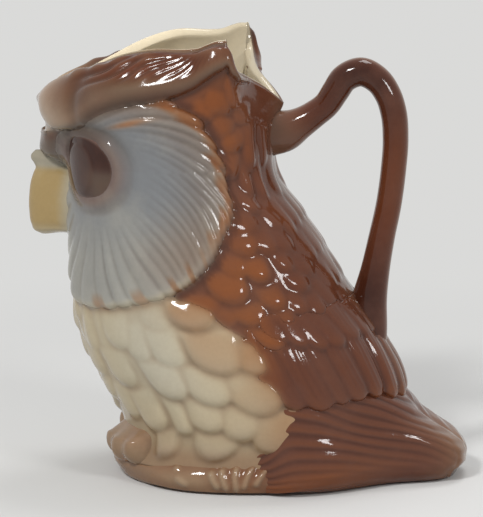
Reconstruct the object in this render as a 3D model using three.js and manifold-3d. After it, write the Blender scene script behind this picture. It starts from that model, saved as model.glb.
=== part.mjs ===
// Owl pitcher: a slip-cast porcelain milk jug in the form of a sitting owl.
//
// The owl looks along -X, +Z is up and Y = 0 is its plane of symmetry, so its left side is -Y.
// The origin lies on the table, midway between the front of the beak and the tip of the tail.
// Lengths are in millimetres and angles in degrees. An angle round the body starts at 0 in front,
// reaches 90 on the owl's left and 180 at its back. "Height" is the height above the table up to
// the shoulder of the head, and from there it runs on along the wall, so that the rim always has
// the height HEIGHT here, though it dips at the lip and at the handle.
import * as THREE from "three";
import { mergeVertices } from "three/addons/utils/BufferGeometryUtils.js";
import Module from "manifold-3d";

// Overall sizes
const HEIGHT = 123.8; // table to the tips of the ear tufts
const DEPTH = 123.8; // front of the beak to the tip of the tail
const WIDTH = 69.6; // across the belly

// Clay thicknesses and slip joints
const WALL = 2.6; // the cast wall of the vessel
const FLOOR = 3.4; // the cast floor of the vessel
const PLUMAGE = 2.4; // depth of the relief that is stuck up on the cast wall
const EDGE_THICKNESS = 1.1; // relief at the edge of a sprigged piece
const SEAT_GAP = 0.4; // slip joint between a piece and the wall that carries it
const SEAT_SINK = 1.2; // how deep a piece is drawn into the wall before it is cut to its seat
const PIECE_GAP = 0.4; // slip joint between two neighbouring pieces
const RIM_ROUND = 0.9; // height of the rounded crown of the rim

// Foot
const FOOT_PLATE = 2.8; // thickness of the plate that the vessel stands in
const FOOT_SKIRT = 9.6; // height of the skirt round the vessel
const FOOT_RING = 5.2; // width of the flat ring that touches the table
const FOOT_RECESS = 1.1; // depth of the recess inside that ring
const FOOT_BEVEL = 1.3; // rounding between the ring and the skirt
const TOE_LIFT = 2.6; // how far a toe stands out of the skirt
const TOES = 3;
const TOE_FOOT = 1; // the toes begin this far over the table

// Face
const DISC_RADIUS_SHARE = 0.331; // of HEIGHT: longest reach of a face disc from the eye's centre
const DISC_RIBS = 44;
const DISC_RIB_DEPTH = 0.8;
const DISC_RIM_LIFT = 1.5; // how far the fringe of the disc stands above its middle
const EYE_RADIUS = 8.5;
const EYE_DOME = 1.6; // height of the eye's dome over its rim
const BROW_OVERHANG = 2.5; // how far the brow stands out over the face
const BROW_LOBE = 0.9; // the extra swell of the brow's front lobe
const BROW_PROW = 6.5; // how much further the brows stand out over the beak
const BEAK_HALF_WIDTH = 6.6;

// Plumage
const SCALE_PITCH_SHARE = 0.0662; // of HEIGHT: from one row of breast feathers to the next
const SCALE_LIFT = 1.7; // how far a feather's tip stands over the row below
const SCALE_STEP = 0.75; // width of the steep edge under a tip
const BREAST_FEATHERS = 10; // in one row
const BREAST_ROWS = 5;
const MANTLE_FEATHERS = 4; // in one row
const MANTLE_ROWS = 5;
const MANTLE_PITCH_SHARE = 0.1; // of HEIGHT
const WING_FEATHERS = 6; // in one tier
const WING_LIFT = 1.8;
const WING_FEATHER_TIP = 3; // length of a feather's rounded end
const WING_SWEEP = 8; // how far the feathers lean, in degrees

// Tail
const TAIL_CLEARANCE = 0.8; // the tail hangs this far over the table
const TAIL_GROOVE = 0.7; // depth of the grooves between its long feathers
const TAIL_GROOVE_PITCH = 6.6; // from one groove to the next, straight down
const TAIL_LEAN = 0.55; // how far a groove drops for each millimetre along the tail
const TAIL_LENGTH = 68; // from its root at the side to its tip, along the surface
const TAIL_SPREAD = 1.1; // above 1, the edge's points lie closer to the side
const TAIL_ROOT = 0.4; // where its hidden front lies, along X in the body, as a share of its root

// Handle
const HANDLE_THICKNESS = 7.3; // in the plane of symmetry, at mid height
const HANDLE_WIDTH = 8.6; // across, at mid height

// Places, as shares of the overall sizes
const BODY_SHARES = [
  // height of HEIGHT, front and back of DEPTH, half width of WIDTH
  [0, -0.294, 0.266, 0.44],
  [0.04, -0.311, 0.287, 0.46],
  [0.1, -0.291, 0.307, 0.455],
  [0.16, -0.308, 0.331, 0.474],
  [0.225, -0.344, 0.335, 0.492],
  [0.29, -0.378, 0.319, 0.5],
  [0.355, -0.398, 0.287, 0.494],
  [0.435, -0.404, 0.238, 0.474],
  [0.515, -0.405, 0.19, 0.453],
  [0.595, -0.406, 0.137, 0.435],
  [0.675, -0.409, 0.081, 0.424],
  [0.755, -0.416, 0.071, 0.417],
  [0.835, -0.436, 0.077, 0.411],
];
const RIM_SHARES = [
  // angle, x of DEPTH, half width of WIDTH, height of HEIGHT
  [0, -0.464, 0, 0.856],
  [20, -0.44, 0.065, 0.871],
  [40, -0.396, 0.115, 0.9],
  [60, -0.331, 0.158, 0.929],
  [75, -0.262, 0.223, 0.957],
  [90, -0.186, 0.287, 0.971],
  [105, -0.105, 0.33, 0.978],
  [114, -0.057, 0.345, 0.982],
  [121, -0.032, 0.345, 1],
  [126, -0.016, 0.338, 0.973],
  [131, 0, 0.316, 0.905],
  [142, 0.036, 0.244, 0.86],
  [158, 0.073, 0.136, 0.838],
  [180, 0.085, 0, 0.832],
];
const CROWN_BULGE_SHARES = [
  // angle, bulge of WIDTH over the straight line from shoulder to rim
  [0, 0.03],
  [20, 0.07],
  [45, 0.137],
  [75, 0.123],
  [100, 0.065],
  [125, 0.014],
  [180, 0],
];
const SHOULDER_SHARE = 0.788; // of HEIGHT: above it the wall draws in to the rim
const CROWN_PULL_SHARES = [0.38, 0.3]; // of the crown's rise: how stiffly it leaves shoulder and rim
const BODY_SQUARENESS = 2.15; // exponent of the body's cross-section, 2 being an ellipse
const EYE_ANGLE = 47;
const EYE_HEIGHT_SHARE = 0.713; // of HEIGHT
const DISC_OUTLINE_SHARES = [
  // direction seen from the eye (0 backwards, 90 up), reach of the disc's radius
  [0, 0.955],
  [15, 0.86],
  [30, 0.77],
  [42, 0.7],
  [60, 0.56],
  [90, 0.42],
  [120, 0.36],
  [150, 0.34],
  [180, 0.38],
  [210, 0.475],
  [235, 0.76],
  [253, 0.96],
  [268, 0.94],
  [280, 0.915],
  [300, 0.91],
  [318, 0.905],
  [333, 0.92],
  [348, 0.98],
  [360, 0.955],
];
const DISC_TWIST = 44; // how far the ribs droop from the eye to the fringe
const DISC_BEND = 1.15; // above 1, they droop more towards the fringe
const BROW_FOOT_SHARES = [
  // angle, lower edge of HEIGHT
  [0, 0.7],
  [10, 0.707],
  [15, 0.73],
  [20, 0.768],
  [26, 0.798],
  [36, 0.812],
  [45, 0.826],
  [57, 0.846],
  [75, 0.862],
  [90, 0.871],
  [105, 0.887],
  [116, 0.907],
  [126, 0.94],
];
const BROW_ENDS = [0.7, 126];
const BROW_TOP_SHARE = 0.985; // of HEIGHT
const BROW_LOBE_ANGLE = 14;
const BROW_PROW_ANGLE = 17;
const WING_LEAD = 18; // the wing meets the breast this far in front of the disc's rearmost rib
const MANTLE_LEAD = 36; // and the nape plumage reaches this far in front of it, over the disc
const MANTLE_LEAN = 17; // how much further back its lowest row begins
const MANTLE_FOOT_SHARE = 0.322; // of HEIGHT
const WING_FOOT_SHARES = [
  // from front to back, lower edge of HEIGHT
  [0, 0.255],
  [0.14, 0.2],
  [0.4, 0.21],
  [0.75, 0.2],
  [1, 0.185],
];
const WING_TOP_SHARES = [0.5, 0.42]; // of HEIGHT
const BREAST_FOOT_SHARES = [
  // angle, lower edge of HEIGHT
  [0, 0.14],
  [25, 0.125],
  [45, 0.09],
  [85, 0.085],
  [110, 0.1],
];
const BEAK_HEIGHT_SHARES = [0.538, 0.715]; // of HEIGHT: underside and top
const BEAK_SHARES = [
  // up the beak, front edge of DEPTH, half width of BEAK_HALF_WIDTH
  [0, -0.47, 0.6],
  [0.05, -0.488, 0.84],
  [0.2, -0.499, 0.96],
  [0.36, -0.5, 1],
  [0.55, -0.497, 0.94],
  [0.75, -0.492, 0.76],
  [0.92, -0.486, 0.5],
  [1, -0.472, 0.3],
];
const BEAK_ROOT_SHARE = -0.38; // x of DEPTH, inside the wall
const TOE_ANGLES = [13, 47];
const TOE_TOP_SHARE = 0.115; // of HEIGHT
const TAIL_PLAN_SHARES = [
  // the tail's edge from above: x of DEPTH, half width of WIDTH
  [0.05, 0.425],
  [0.11, 0.46],
  [0.17, 0.447],
  [0.23, 0.4],
  [0.29, 0.318],
  [0.345, 0.245],
  [0.4, 0.198],
  [0.45, 0.165],
  [0.48, 0.125],
  [0.494, 0.075],
  [0.5, 0],
];
const TAIL_TOP_SHARES = [
  // its root on the body, from the side to the tip: share of the way, angle, height of HEIGHT
  [0, 97, 0.085],
  [0.06, 101, 0.12],
  [0.14, 107, 0.2],
  [0.24, 116, 0.218],
  [0.45, 131, 0.222],
  [0.7, 150, 0.222],
  [0.88, 167, 0.22],
  [1, 180, 0.215],
];
const TAIL_PROFILE_SHARES = [
  // share of the way up, share of the way out from the body to the edge
  [0, 0.9],
  [0.06, 0.97],
  [0.16, 1],
  [0.27, 0.965],
  [0.38, 0.84],
  [0.48, 0.66],
  [0.6, 0.46],
  [0.74, 0.28],
  [0.87, 0.12],
  [1, -0.06],
];
const HANDLE_PATH_SHARES = [
  // x of DEPTH, height of HEIGHT, swell of the section
  [0.048, 0.772, 1.8],
  [0.086, 0.779, 1.6],
  [0.12, 0.796, 1.22],
  [0.15, 0.816, 1.06],
  [0.177, 0.838, 1.02],
  [0.197, 0.868, 1.05],
  [0.217, 0.897, 1.08],
  [0.254, 0.912, 1.1],
  [0.29, 0.895, 1.05],
  [0.314, 0.862, 1.01],
  [0.327, 0.822, 1],
  [0.332, 0.765, 0.98],
  [0.328, 0.695, 0.97],
  [0.318, 0.615, 0.98],
  [0.303, 0.54, 1.01],
  [0.288, 0.465, 1.1],
  [0.272, 0.4, 1.3],
  [0.258, 0.335, 1.6],
];

// How finely each surface is drawn
const ROUND_STEPS = 36; // round the vessel
const VESSEL_OUTER_SHARES = [0.029, 0.065, 0.105, 0.15, 0.21, 0.28, 0.36, 0.45, 0.55, 0.66, 0.75, 0.82, 0.88, 0.94, 1];
const VESSEL_INNER_SHARES = [1, 0.93, 0.86, 0.78, 0.67, 0.55, 0.44, 0.34, 0.25, 0.17, 0.1, 0.062];
const HANDLE_STEPS = 34;
const HANDLE_SIDES = 12;
const FEATHER_STEPS = 4; // across one feather of a row
const TAIL_COLUMNS = 24; // on each side
const TAIL_ROWS = 13;
const FINE_STEP = 0.5; // in degrees, to find a surface's slope

const RADIANS = Math.PI / 180;
const SIDES = { left: 1, right: -1 };

// A smooth curve through [position, value] pairs.
function smoothCurve(pairs) {
  const last = pairs.length - 1;
  const chord = (i) => (pairs[i + 1][1] - pairs[i][1]) / (pairs[i + 1][0] - pairs[i][0]);
  const span = (i) => pairs[i + 1][0] - pairs[i][0];
  const slopes = pairs.map((pair, i) => {
    if (i === 0) return chord(0);
    if (i === last) return chord(last - 1);
    return (chord(i - 1) * span(i) + chord(i) * span(i - 1)) / (span(i - 1) + span(i));
  });
  return (position) => {
    let i = 0;
    while (i < last - 1 && position > pairs[i + 1][0]) i += 1;
    const t = THREE.MathUtils.clamp((position - pairs[i][0]) / span(i), 0, 1);
    const rest = 1 - t;
    return (
      (1 + 2 * t) * rest * rest * pairs[i][1] +
      t * rest * rest * span(i) * slopes[i] +
      t * t * (3 - 2 * t) * pairs[i + 1][1] -
      t * t * rest * span(i) * slopes[i + 1]
    );
  };
}

const column = (table, index, unit) => smoothCurve(table.map((row) => [row[0], row[index] * unit]));
const heightColumn = (table, index, unit) => smoothCurve(table.map((row) => [row[0] * HEIGHT, row[index] * unit]));

// The owl's overall form: the level that the relief reaches on the whole.
const bodyFront = heightColumn(BODY_SHARES, 1, DEPTH);
const bodyBack = heightColumn(BODY_SHARES, 2, DEPTH);
const bodyHalfWidth = heightColumn(BODY_SHARES, 3, WIDTH);
const rimX = column(RIM_SHARES, 1, DEPTH);
const rimHalfWidth = column(RIM_SHARES, 2, WIDTH);
const rimHeight = column(RIM_SHARES, 3, HEIGHT);
const crownBulge = column(CROWN_BULGE_SHARES, 1, WIDTH);
const shoulder = SHOULDER_SHARE * HEIGHT;

function bodySection(angle, height) {
  const front = bodyFront(height);
  const back = bodyBack(height);
  const c = Math.cos(angle * RADIANS);
  const s = Math.sin(angle * RADIANS);
  const n = BODY_SQUARENESS;
  const reach = (Math.abs(c) ** n + Math.abs(s) ** n) ** (-1 / n);
  return new THREE.Vector3((front + back) / 2 - ((back - front) / 2) * c * reach, -bodyHalfWidth(height) * s * reach, height);
}

function rimPoint(angle) {
  const folded = THREE.MathUtils.euclideanModulo(angle + 180, 360) - 180;
  const side = folded < 0 ? -1 : 1;
  const t = Math.abs(folded);
  return new THREE.Vector3(rimX(t), -side * rimHalfWidth(t), rimHeight(t) - RIM_ROUND);
}

function sectionOutward(angle) {
  const along = bodySection(angle + FINE_STEP, shoulder).sub(bodySection(angle - FINE_STEP, shoulder));
  return new THREE.Vector3(along.y, -along.x, 0).normalize();
}

function formPoint(angle, height) {
  if (height <= shoulder) return bodySection(angle, height);
  const along = THREE.MathUtils.clamp((height - shoulder) / (HEIGHT - shoulder), 0, 1);
  const rim = rimPoint(angle);
  const foot = bodySection(angle, shoulder);
  const rise = rim.z - shoulder;
  const folded = Math.abs(THREE.MathUtils.euclideanModulo(angle + 180, 360) - 180);
  const lean = bodySection(angle, shoulder + FINE_STEP).sub(foot).divideScalar(FINE_STEP);
  const lower = foot.clone().addScaledVector(lean, rise * CROWN_PULL_SHARES[0]);
  const upper = rim.clone().addScaledVector(sectionOutward(angle), crownBulge(folded));
  upper.z -= rise * CROWN_PULL_SHARES[1];
  return new THREE.CubicBezierCurve3(foot, lower, upper, rim).getPoint(along);
}

function formNormal(angle, height) {
  const low = Math.max(height - FINE_STEP, 0);
  const high = Math.min(height + FINE_STEP, HEIGHT);
  const up = formPoint(angle, high).sub(formPoint(angle, low));
  const round = formPoint(angle + FINE_STEP, height).sub(formPoint(angle - FINE_STEP, height));
  return round.cross(up).normalize();
}

// A point that stands out of the form by a distance, which is negative inside the clay.
function surface(angle, height, out) {
  return formPoint(angle, height).addScaledVector(formNormal(angle, height), out);
}

// The cast wall lies under the relief, and comes up to the form at the rim.
function reliefDepth(height) {
  const fade = THREE.MathUtils.smoothstep(height, SHOULDER_SHARE * HEIGHT, HEIGHT);
  return PLUMAGE * (1 - fade);
}
const castWall = (angle, height, out) => surface(angle, height, out - reliefDepth(height));

// Collects vertices and faces, and gives back one closed body with its faces pointing out.
class Skin {
  constructor() {
    this.points = [];
    this.faces = [];
  }
  add(point) {
    this.points.push(point);
    return this.points.length - 1;
  }
  row(points) {
    return points.map((point) => this.add(point));
  }
  // The second half of a closed ring turns its diagonals, so that both sides of the owl match.
  quads(lower, upper, closed) {
    const count = closed ? lower.length : lower.length - 1;
    for (let i = 0; i < count; i += 1) {
      const j = (i + 1) % lower.length;
      if (closed && i >= count / 2) {
        this.faces.push([lower[i], lower[j], upper[i]], [lower[j], upper[j], upper[i]]);
      } else {
        this.faces.push([lower[i], lower[j], upper[j]], [lower[i], upper[j], upper[i]]);
      }
    }
  }
  fan(row, pole, turned) {
    row.forEach((index, i) => {
      const next = row[(i + 1) % row.length];
      this.faces.push(turned ? [next, index, pole] : [index, next, pole]);
    });
  }
  // Joins two rows that run side by side but may have different numbers of points.
  stitch(one, other) {
    let i = 0;
    let j = 0;
    while (i < one.length - 1 || j < other.length - 1) {
      const oneNext = (i + 1) / (one.length - 1);
      const otherNext = (j + 1) / (other.length - 1);
      if (j === other.length - 1 || (i < one.length - 1 && oneNext <= otherNext)) {
        this.faces.push([one[i], one[i + 1], other[j]]);
        i += 1;
      } else {
        this.faces.push([one[i], other[j + 1], other[j]]);
        j += 1;
      }
    }
  }
  geometry() {
    const [a, b, c] = [new THREE.Vector3(), new THREE.Vector3(), new THREE.Vector3()];
    const volume = this.faces.reduce((sum, face) => {
      [a, b, c].forEach((corner, k) => corner.copy(this.points[face[k]]));
      return sum + a.dot(b.cross(c));
    }, 0);
    const faces = volume < 0 ? this.faces.map(([p, q, r]) => [p, r, q]) : this.faces;
    const geometry = new THREE.BufferGeometry();
    geometry.setAttribute("position", new THREE.Float32BufferAttribute(this.points.flatMap((p) => p.toArray()), 3));
    geometry.setIndex(faces.flat());
    return geometry;
  }
}

// A body through closed rings, with a pole at each end.
function ringBody(rings, firstPole, lastPole) {
  const skin = new Skin();
  const rows = rings.map((ring) => skin.row(ring));
  rows.slice(1).forEach((row, i) => skin.quads(rows[i], row, true));
  skin.fan(rows[0], skin.add(firstPole), true);
  skin.fan(rows.at(-1), skin.add(lastPole), false);
  return skin.geometry();
}

// A sprigged piece: a relief that lies on the cast wall. Each line is a function of a share from
// 0 to 1 that gives [angle, height, relief]. Its back is drawn inside the wall and cut to the seat.
function sprig(lines, columns, backColumns, backRows) {
  const skin = new Skin();
  const shares = (count) => Array.from({ length: count + 1 }, (_, i) => i / count);
  const front = lines.map((line) =>
    skin.row(
      shares(columns).map((s) => {
        const [angle, height, relief] = line(s);
        return castWall(angle, height, relief);
      }),
    ),
  );
  const backLine = (s, t) => {
    const place = t * (lines.length - 1);
    const i = Math.min(Math.floor(place), lines.length - 2);
    const [low, high] = [lines[i](s), lines[i + 1](s)];
    const mix = place - i;
    return castWall(low[0] + (high[0] - low[0]) * mix, low[1] + (high[1] - low[1]) * mix, -SEAT_SINK);
  };
  const back = shares(backRows).map((t) => skin.row(shares(backColumns).map((s) => backLine(s, t))));
  front.slice(1).forEach((row, i) => skin.quads(front[i], row, false));
  back.slice(1).forEach((row, i) => skin.quads(row, back[i], false));
  skin.stitch(back[0], front[0]);
  skin.stitch(front.at(-1), back.at(-1));
  const side = (rows, at) => rows.map((row) => row.at(at));
  skin.stitch(side(front, 0), side(back, 0));
  skin.stitch(side(back, -1), side(front, -1));
  return skin.geometry();
}

// Boolean cuts
const wasm = await Module();
wasm.setup();

function toSolid(geometry) {
  const bare = geometry.clone();
  bare.deleteAttribute("normal");
  bare.deleteAttribute("uv");
  const merged = mergeVertices(bare);
  return new wasm.Manifold(
    new wasm.Mesh({
      numProp: 3,
      vertProperties: merged.attributes.position.array,
      triVerts: new Uint32Array(merged.index.array),
    }),
  );
}

function toGeometry(solid) {
  const mesh = solid.getMesh();
  const geometry = new THREE.BufferGeometry();
  geometry.setAttribute("position", new THREE.Float32BufferAttribute(mesh.vertProperties, mesh.numProp));
  geometry.setIndex(new THREE.BufferAttribute(mesh.triVerts, 1));
  return geometry;
}

// Cuts a piece and keeps its largest body, since crumbs may be left beyond a neighbour.
function cut(geometry, cutters) {
  const left = cutters.reduce((solid, cutter) => solid.subtract(cutter), toSolid(geometry));
  const bodies = left.decompose();
  return toGeometry(bodies.reduce((best, body) => (body.volume() > best.volume() ? body : best)));
}

// The mirror image of a piece, for the owl's right side.
function mirrored(geometry) {
  const copy = geometry.clone();
  copy.scale(1, -1, 1);
  const index = copy.index.array;
  for (let i = 0; i < index.length; i += 3) [index[i + 1], index[i + 2]] = [index[i + 2], index[i + 1]];
  return copy;
}

const ringAngles = Array.from({ length: ROUND_STEPS }, (_, i) => (360 * i) / ROUND_STEPS);
const ring = (pointAt) => ringAngles.map(pointAt);

// The cast vessel: one wall from the floor to the wavy rim, glazed inside.
function vesselGeometry() {
  const outer = VESSEL_OUTER_SHARES.map((share) => ring((angle) => castWall(angle, share * HEIGHT, 0)));
  const crown = ring((angle) => {
    const point = castWall(angle, HEIGHT, -WALL / 2);
    point.z += RIM_ROUND;
    return point;
  });
  const inner = VESSEL_INNER_SHARES.map((share) => ring((angle) => castWall(angle, share * HEIGHT, -WALL)));
  const bottom = FOOT_PLATE + SEAT_GAP;
  outer.unshift(ring((angle) => castWall(angle, bottom, -WALL / 2).setZ(bottom)));
  const centre = (bodyFront(bottom) + bodyBack(bottom)) / 2;
  const floor = bottom + FLOOR;
  inner.push(ring((angle) => castWall(angle, floor, -WALL * 2).setZ(floor)));
  return ringBody([...outer, crown, ...inner], new THREE.Vector3(centre, 0, bottom), new THREE.Vector3(centre, 0, floor));
}

// The whole of the body's inside up to a distance out of the cast wall, to cut what seats on it.
function castCore(out) {
  const rings = VESSEL_OUTER_SHARES.map((share) => ring((angle) => castWall(angle, share * HEIGHT, out)));
  const above = RIM_ROUND + out;
  rings.push(rings.at(-1).map((point) => point.clone().setZ(point.z + above)));
  const bottom = rings[0][0].z;
  const floorPole = new THREE.Vector3(0, 0, bottom);
  const rimPole = new THREE.Vector3(0, 0, rimHeight(180) + out);
  rings[0].forEach((point) => point.setZ(bottom));
  return toSolid(ringBody(rings, floorPole, rimPole));
}

// A thick block over part of the wall, to cut neighbours back from a piece.
const BLOCK_DEPTH = PLUMAGE + WALL;
const BLOCK_RISE = PLUMAGE + BROW_OVERHANG + BROW_LOBE;
function block(rows) {
  const skin = new Skin();
  const level = (out) => rows.map((row) => skin.row(row.map(([angle, height]) => castWall(angle, height, out))));
  const low = level(-BLOCK_DEPTH);
  const high = level(BLOCK_RISE);
  const side = (levels, at) => levels.map((row) => row.at(at));
  low.slice(1).forEach((row, i) => skin.quads(row, low[i], false));
  high.slice(1).forEach((row, i) => skin.quads(high[i], row, false));
  skin.quads(low[0], high[0], false);
  skin.quads(high.at(-1), low.at(-1), false);
  skin.quads(side(high, 0), side(low, 0), false);
  skin.quads(side(low, -1), side(high, -1), false);
  return toSolid(skin.geometry());
}
const steps = (count) => Array.from({ length: count + 1 }, (_, i) => i / count);

// Face discs: curved ribs that fan out from the eye and droop towards the fringe.
const eyeHeight = EYE_HEIGHT_SHARE * HEIGHT;
const headDegree = bodyHalfWidth(eyeHeight) * RADIANS; // length of one degree round the head
const discRadius = DISC_RADIUS_SHARE * HEIGHT;
const faceBack = EYE_ANGLE + discRadius / headDegree;
const wingFront = faceBack - WING_LEAD;
const mantleFront = faceBack - MANTLE_LEAD;
const scalePitch = SCALE_PITCH_SHARE * HEIGHT;
const mantlePitch = MANTLE_PITCH_SHARE * HEIGHT;
const discReach = column(DISC_OUTLINE_SHARES, 1, discRadius);

function faceSpot(direction, reach) {
  const away = direction * RADIANS;
  return [EYE_ANGLE + (reach * Math.cos(away)) / headDegree, eyeHeight + reach * Math.sin(away)];
}

function discSpot(start, along) {
  const direction = start - DISC_TWIST * (1 + Math.sin(start * RADIANS)) * along ** DISC_BEND;
  const outline = discReach(THREE.MathUtils.euclideanModulo(direction, 360));
  const socket = EYE_RADIUS + PIECE_GAP;
  return faceSpot(direction, socket + (outline - socket) * along);
}

const DISC_STEPS = [0, 0.12, 0.36, 0.64, 0.9, 1];
const DISC_BACK_STEPS = [0, 0.3, 0.66, 1];
function discRelief(ridge, along) {
  const ribs = DISC_RIB_DEPTH * ridge * THREE.MathUtils.smoothstep(along, 0.1, 0.6);
  if (along === 1) return SEAT_GAP + EDGE_THICKNESS + ribs;
  return SEAT_GAP + EDGE_THICKNESS + DISC_RIM_LIFT * THREE.MathUtils.smoothstep(along, 0.1, 0.9) + ribs;
}

function discGeometry() {
  const skin = new Skin();
  const spots = (along, count, reliefAt) =>
    skin.row(
      Array.from({ length: count }, (_, i) => {
        const [angle, height] = discSpot((360 * i) / count, along);
        return castWall(angle, height, reliefAt(i));
      }),
    );
  const front = DISC_STEPS.map((along) => spots(along, DISC_RIBS * 2, (i) => discRelief(i % 2, along)));
  const back = DISC_BACK_STEPS.map((along) => spots(along, DISC_RIBS, () => -SEAT_SINK));
  front.slice(1).forEach((row, i) => skin.quads(front[i], row, true));
  back.slice(1).forEach((row, i) => skin.quads(row, back[i], true));
  const loop = (row) => [...row, row[0]];
  skin.stitch(loop(back[0]), loop(front[0]));
  skin.stitch(loop(front.at(-1)), loop(back.at(-1)));
  return skin.geometry();
}

const DISC_BLOCK_STEPS = [0.05, 0.35, 0.7, 1];
function discBlock() {
  const around = Array.from({ length: DISC_RIBS * 2 }, (_, i) => (360 * i) / (DISC_RIBS * 2));
  const skin = new Skin();
  const level = (out) =>
    DISC_BLOCK_STEPS.map((along) =>
      skin.row(
        around.map((direction) => {
          const [angle, height] = faceSpot(direction, (discReach(direction) + PIECE_GAP * 2) * along);
          return castWall(angle, height, out);
        }),
      ),
    );
  const low = level(-BLOCK_DEPTH);
  const high = level(BLOCK_RISE);
  low.slice(1).forEach((row, i) => skin.quads(row, low[i], true));
  high.slice(1).forEach((row, i) => skin.quads(high[i], row, true));
  skin.quads(high.at(-1), low.at(-1), true);
  skin.fan(low[0], skin.add(castWall(EYE_ANGLE, eyeHeight, -BLOCK_DEPTH)), false);
  skin.fan(high[0], skin.add(castWall(EYE_ANGLE, eyeHeight, BLOCK_RISE)), true);
  return toSolid(skin.geometry());
}

// An eye: a domed boss in the disc's socket.
const EYE_SIDES = 24;
function eyeGeometry() {
  const around = Array.from({ length: EYE_SIDES }, (_, i) => (360 * i) / EYE_SIDES);
  const level = (reach, out) =>
    around.map((direction) => {
      const [angle, height] = faceSpot(direction, EYE_RADIUS * reach);
      return castWall(angle, height, out);
    });
  const rise = (reach) => SEAT_GAP + EDGE_THICKNESS + EYE_DOME * Math.sqrt(1 - reach * reach);
  const dome = [1, 0.86, 0.6, 0.3].map((reach) => level(reach, rise(reach)));
  const seat = [0.5, 1].map((reach) => level(reach, -SEAT_SINK));
  const pole = (out) => castWall(EYE_ANGLE, eyeHeight, out);
  return ringBody([...seat, ...dome], pole(-SEAT_SINK), pole(rise(0)));
}

// A brow: the visor over the face, which ends in the ear tuft.
const browFoot = column(BROW_FOOT_SHARES, 1, HEIGHT);
const browTop = BROW_TOP_SHARE * HEIGHT;
const BROW_LINES = [
  // share of the way up, relief as a share of the overhang and of the prow
  [0, 0.25, 0.7],
  [0.05, 0.9, 1],
  [0.2, 1, 0.95],
  [0.45, 0.35, 0.45],
  [0.72, 0.12, 0.05],
  [1, 0.04, 0],
];
function browLine([up, lift, front], grow = 0) {
  return (s) => {
    const angle = THREE.MathUtils.lerp(BROW_ENDS[0] - grow / headDegree, BROW_ENDS[1] + grow / headDegree, s);
    const foot = browFoot(angle) - grow;
    const lobe = BROW_LOBE * Math.exp(-(((angle - BROW_LOBE_ANGLE) / BROW_LOBE_ANGLE) ** 2));
    const ends = THREE.MathUtils.smoothstep(s, 0, 0.06) * (1 - 0.5 * THREE.MathUtils.smoothstep(s, 0.75, 1));
    const prow = BROW_PROW * front * Math.exp(-((angle / BROW_PROW_ANGLE) ** 2));
    const relief = SEAT_GAP + EDGE_THICKNESS + (BROW_OVERHANG + lobe) * lift * (0.35 + 0.65 * ends) + prow;
    return [angle, foot + (browTop - foot) * up, relief];
  };
}
const BROW_STEPS = 24;
const browGeometry = () => sprig(BROW_LINES.map((line) => browLine(line)), BROW_STEPS, BROW_STEPS, 4);
const browBlock = () =>
  block(
    [0, 0.35, 0.7, 1].map((up) =>
      steps(BROW_STEPS).map((s) => {
        const [angle, height] = browLine([up, 0, 0], PIECE_GAP)(s);
        return [angle, height];
      }),
    ),
  );

// Rows of overlapping feathers over a span of angles, whose lower rows may begin further back.
// Each row gives the foot of the step under its tips, the tips and the slope up to the next row.
function featherRows({ from, to, lean = 0, first, rows, pitch, feathers, lift }) {
  const angleAt = (s, row) => THREE.MathUtils.lerp(from + lean * (1 - row / (rows + 1)), to, s);
  const line = (row, offset, thickness) => (s) => {
    const place = s * feathers + (row % 2) / 2;
    const across = 2 * (place - Math.floor(place)) - 1;
    const inner = row > 0 && row <= rows;
    const arch = inner ? (1 - Math.sqrt(1 - 0.9 * across ** 2)) * pitch * 0.5 : 0;
    const swell = 1 - 0.4 * across ** 2;
    const angle = angleAt(s, row);
    return [angle, first(angle) + row * pitch + arch + offset, SEAT_GAP + EDGE_THICKNESS + lift * thickness * swell];
  };
  const lines = [line(0, 0, 0.5)];
  for (let row = 1; row <= rows; row += 1) {
    lines.push(line(row, -SCALE_STEP, 0.12), line(row, 0, 1), line(row, pitch * 0.34, 0.66));
  }
  lines.push(line(rows + 1, pitch * 0.4, 0));
  return lines;
}

const breastFoot = column(BREAST_FOOT_SHARES, 1, HEIGHT);
function breastGeometry() {
  const foot = (angle) => breastFoot(Math.abs(angle));
  const lines = featherRows({
    from: -wingFront,
    to: wingFront,
    first: foot,
    rows: BREAST_ROWS,
    pitch: scalePitch,
    feathers: BREAST_FEATHERS,
    lift: SCALE_LIFT,
  });
  return sprig(lines, BREAST_FEATHERS * FEATHER_STEPS, BREAST_FEATHERS, 5);
}

function mantleGeometry() {
  const gap = PIECE_GAP / 2 / headDegree;
  const lines = featherRows({
    from: mantleFront,
    to: 180 - gap,
    first: () => MANTLE_FOOT_SHARE * HEIGHT,
    rows: MANTLE_ROWS,
    pitch: mantlePitch,
    feathers: MANTLE_FEATHERS,
    lean: MANTLE_LEAN,
    lift: SCALE_LIFT,
  });
  return sprig(lines, MANTLE_FEATHERS * FEATHER_STEPS, MANTLE_FEATHERS, 6);
}

function mantleBlock() {
  const foot = MANTLE_FOOT_SHARE * HEIGHT;
  const top = foot + (MANTLE_ROWS + 1) * mantlePitch;
  const rows = steps(MANTLE_ROWS).map((up) =>
    steps(MANTLE_FEATHERS * 4).map((s) => [
      THREE.MathUtils.lerp(mantleFront + MANTLE_LEAN * (1 - up) - PIECE_GAP / headDegree, 181, s),
      THREE.MathUtils.lerp(foot - PIECE_GAP, top, up),
    ]),
  );
  return block(rows);
}

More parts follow.
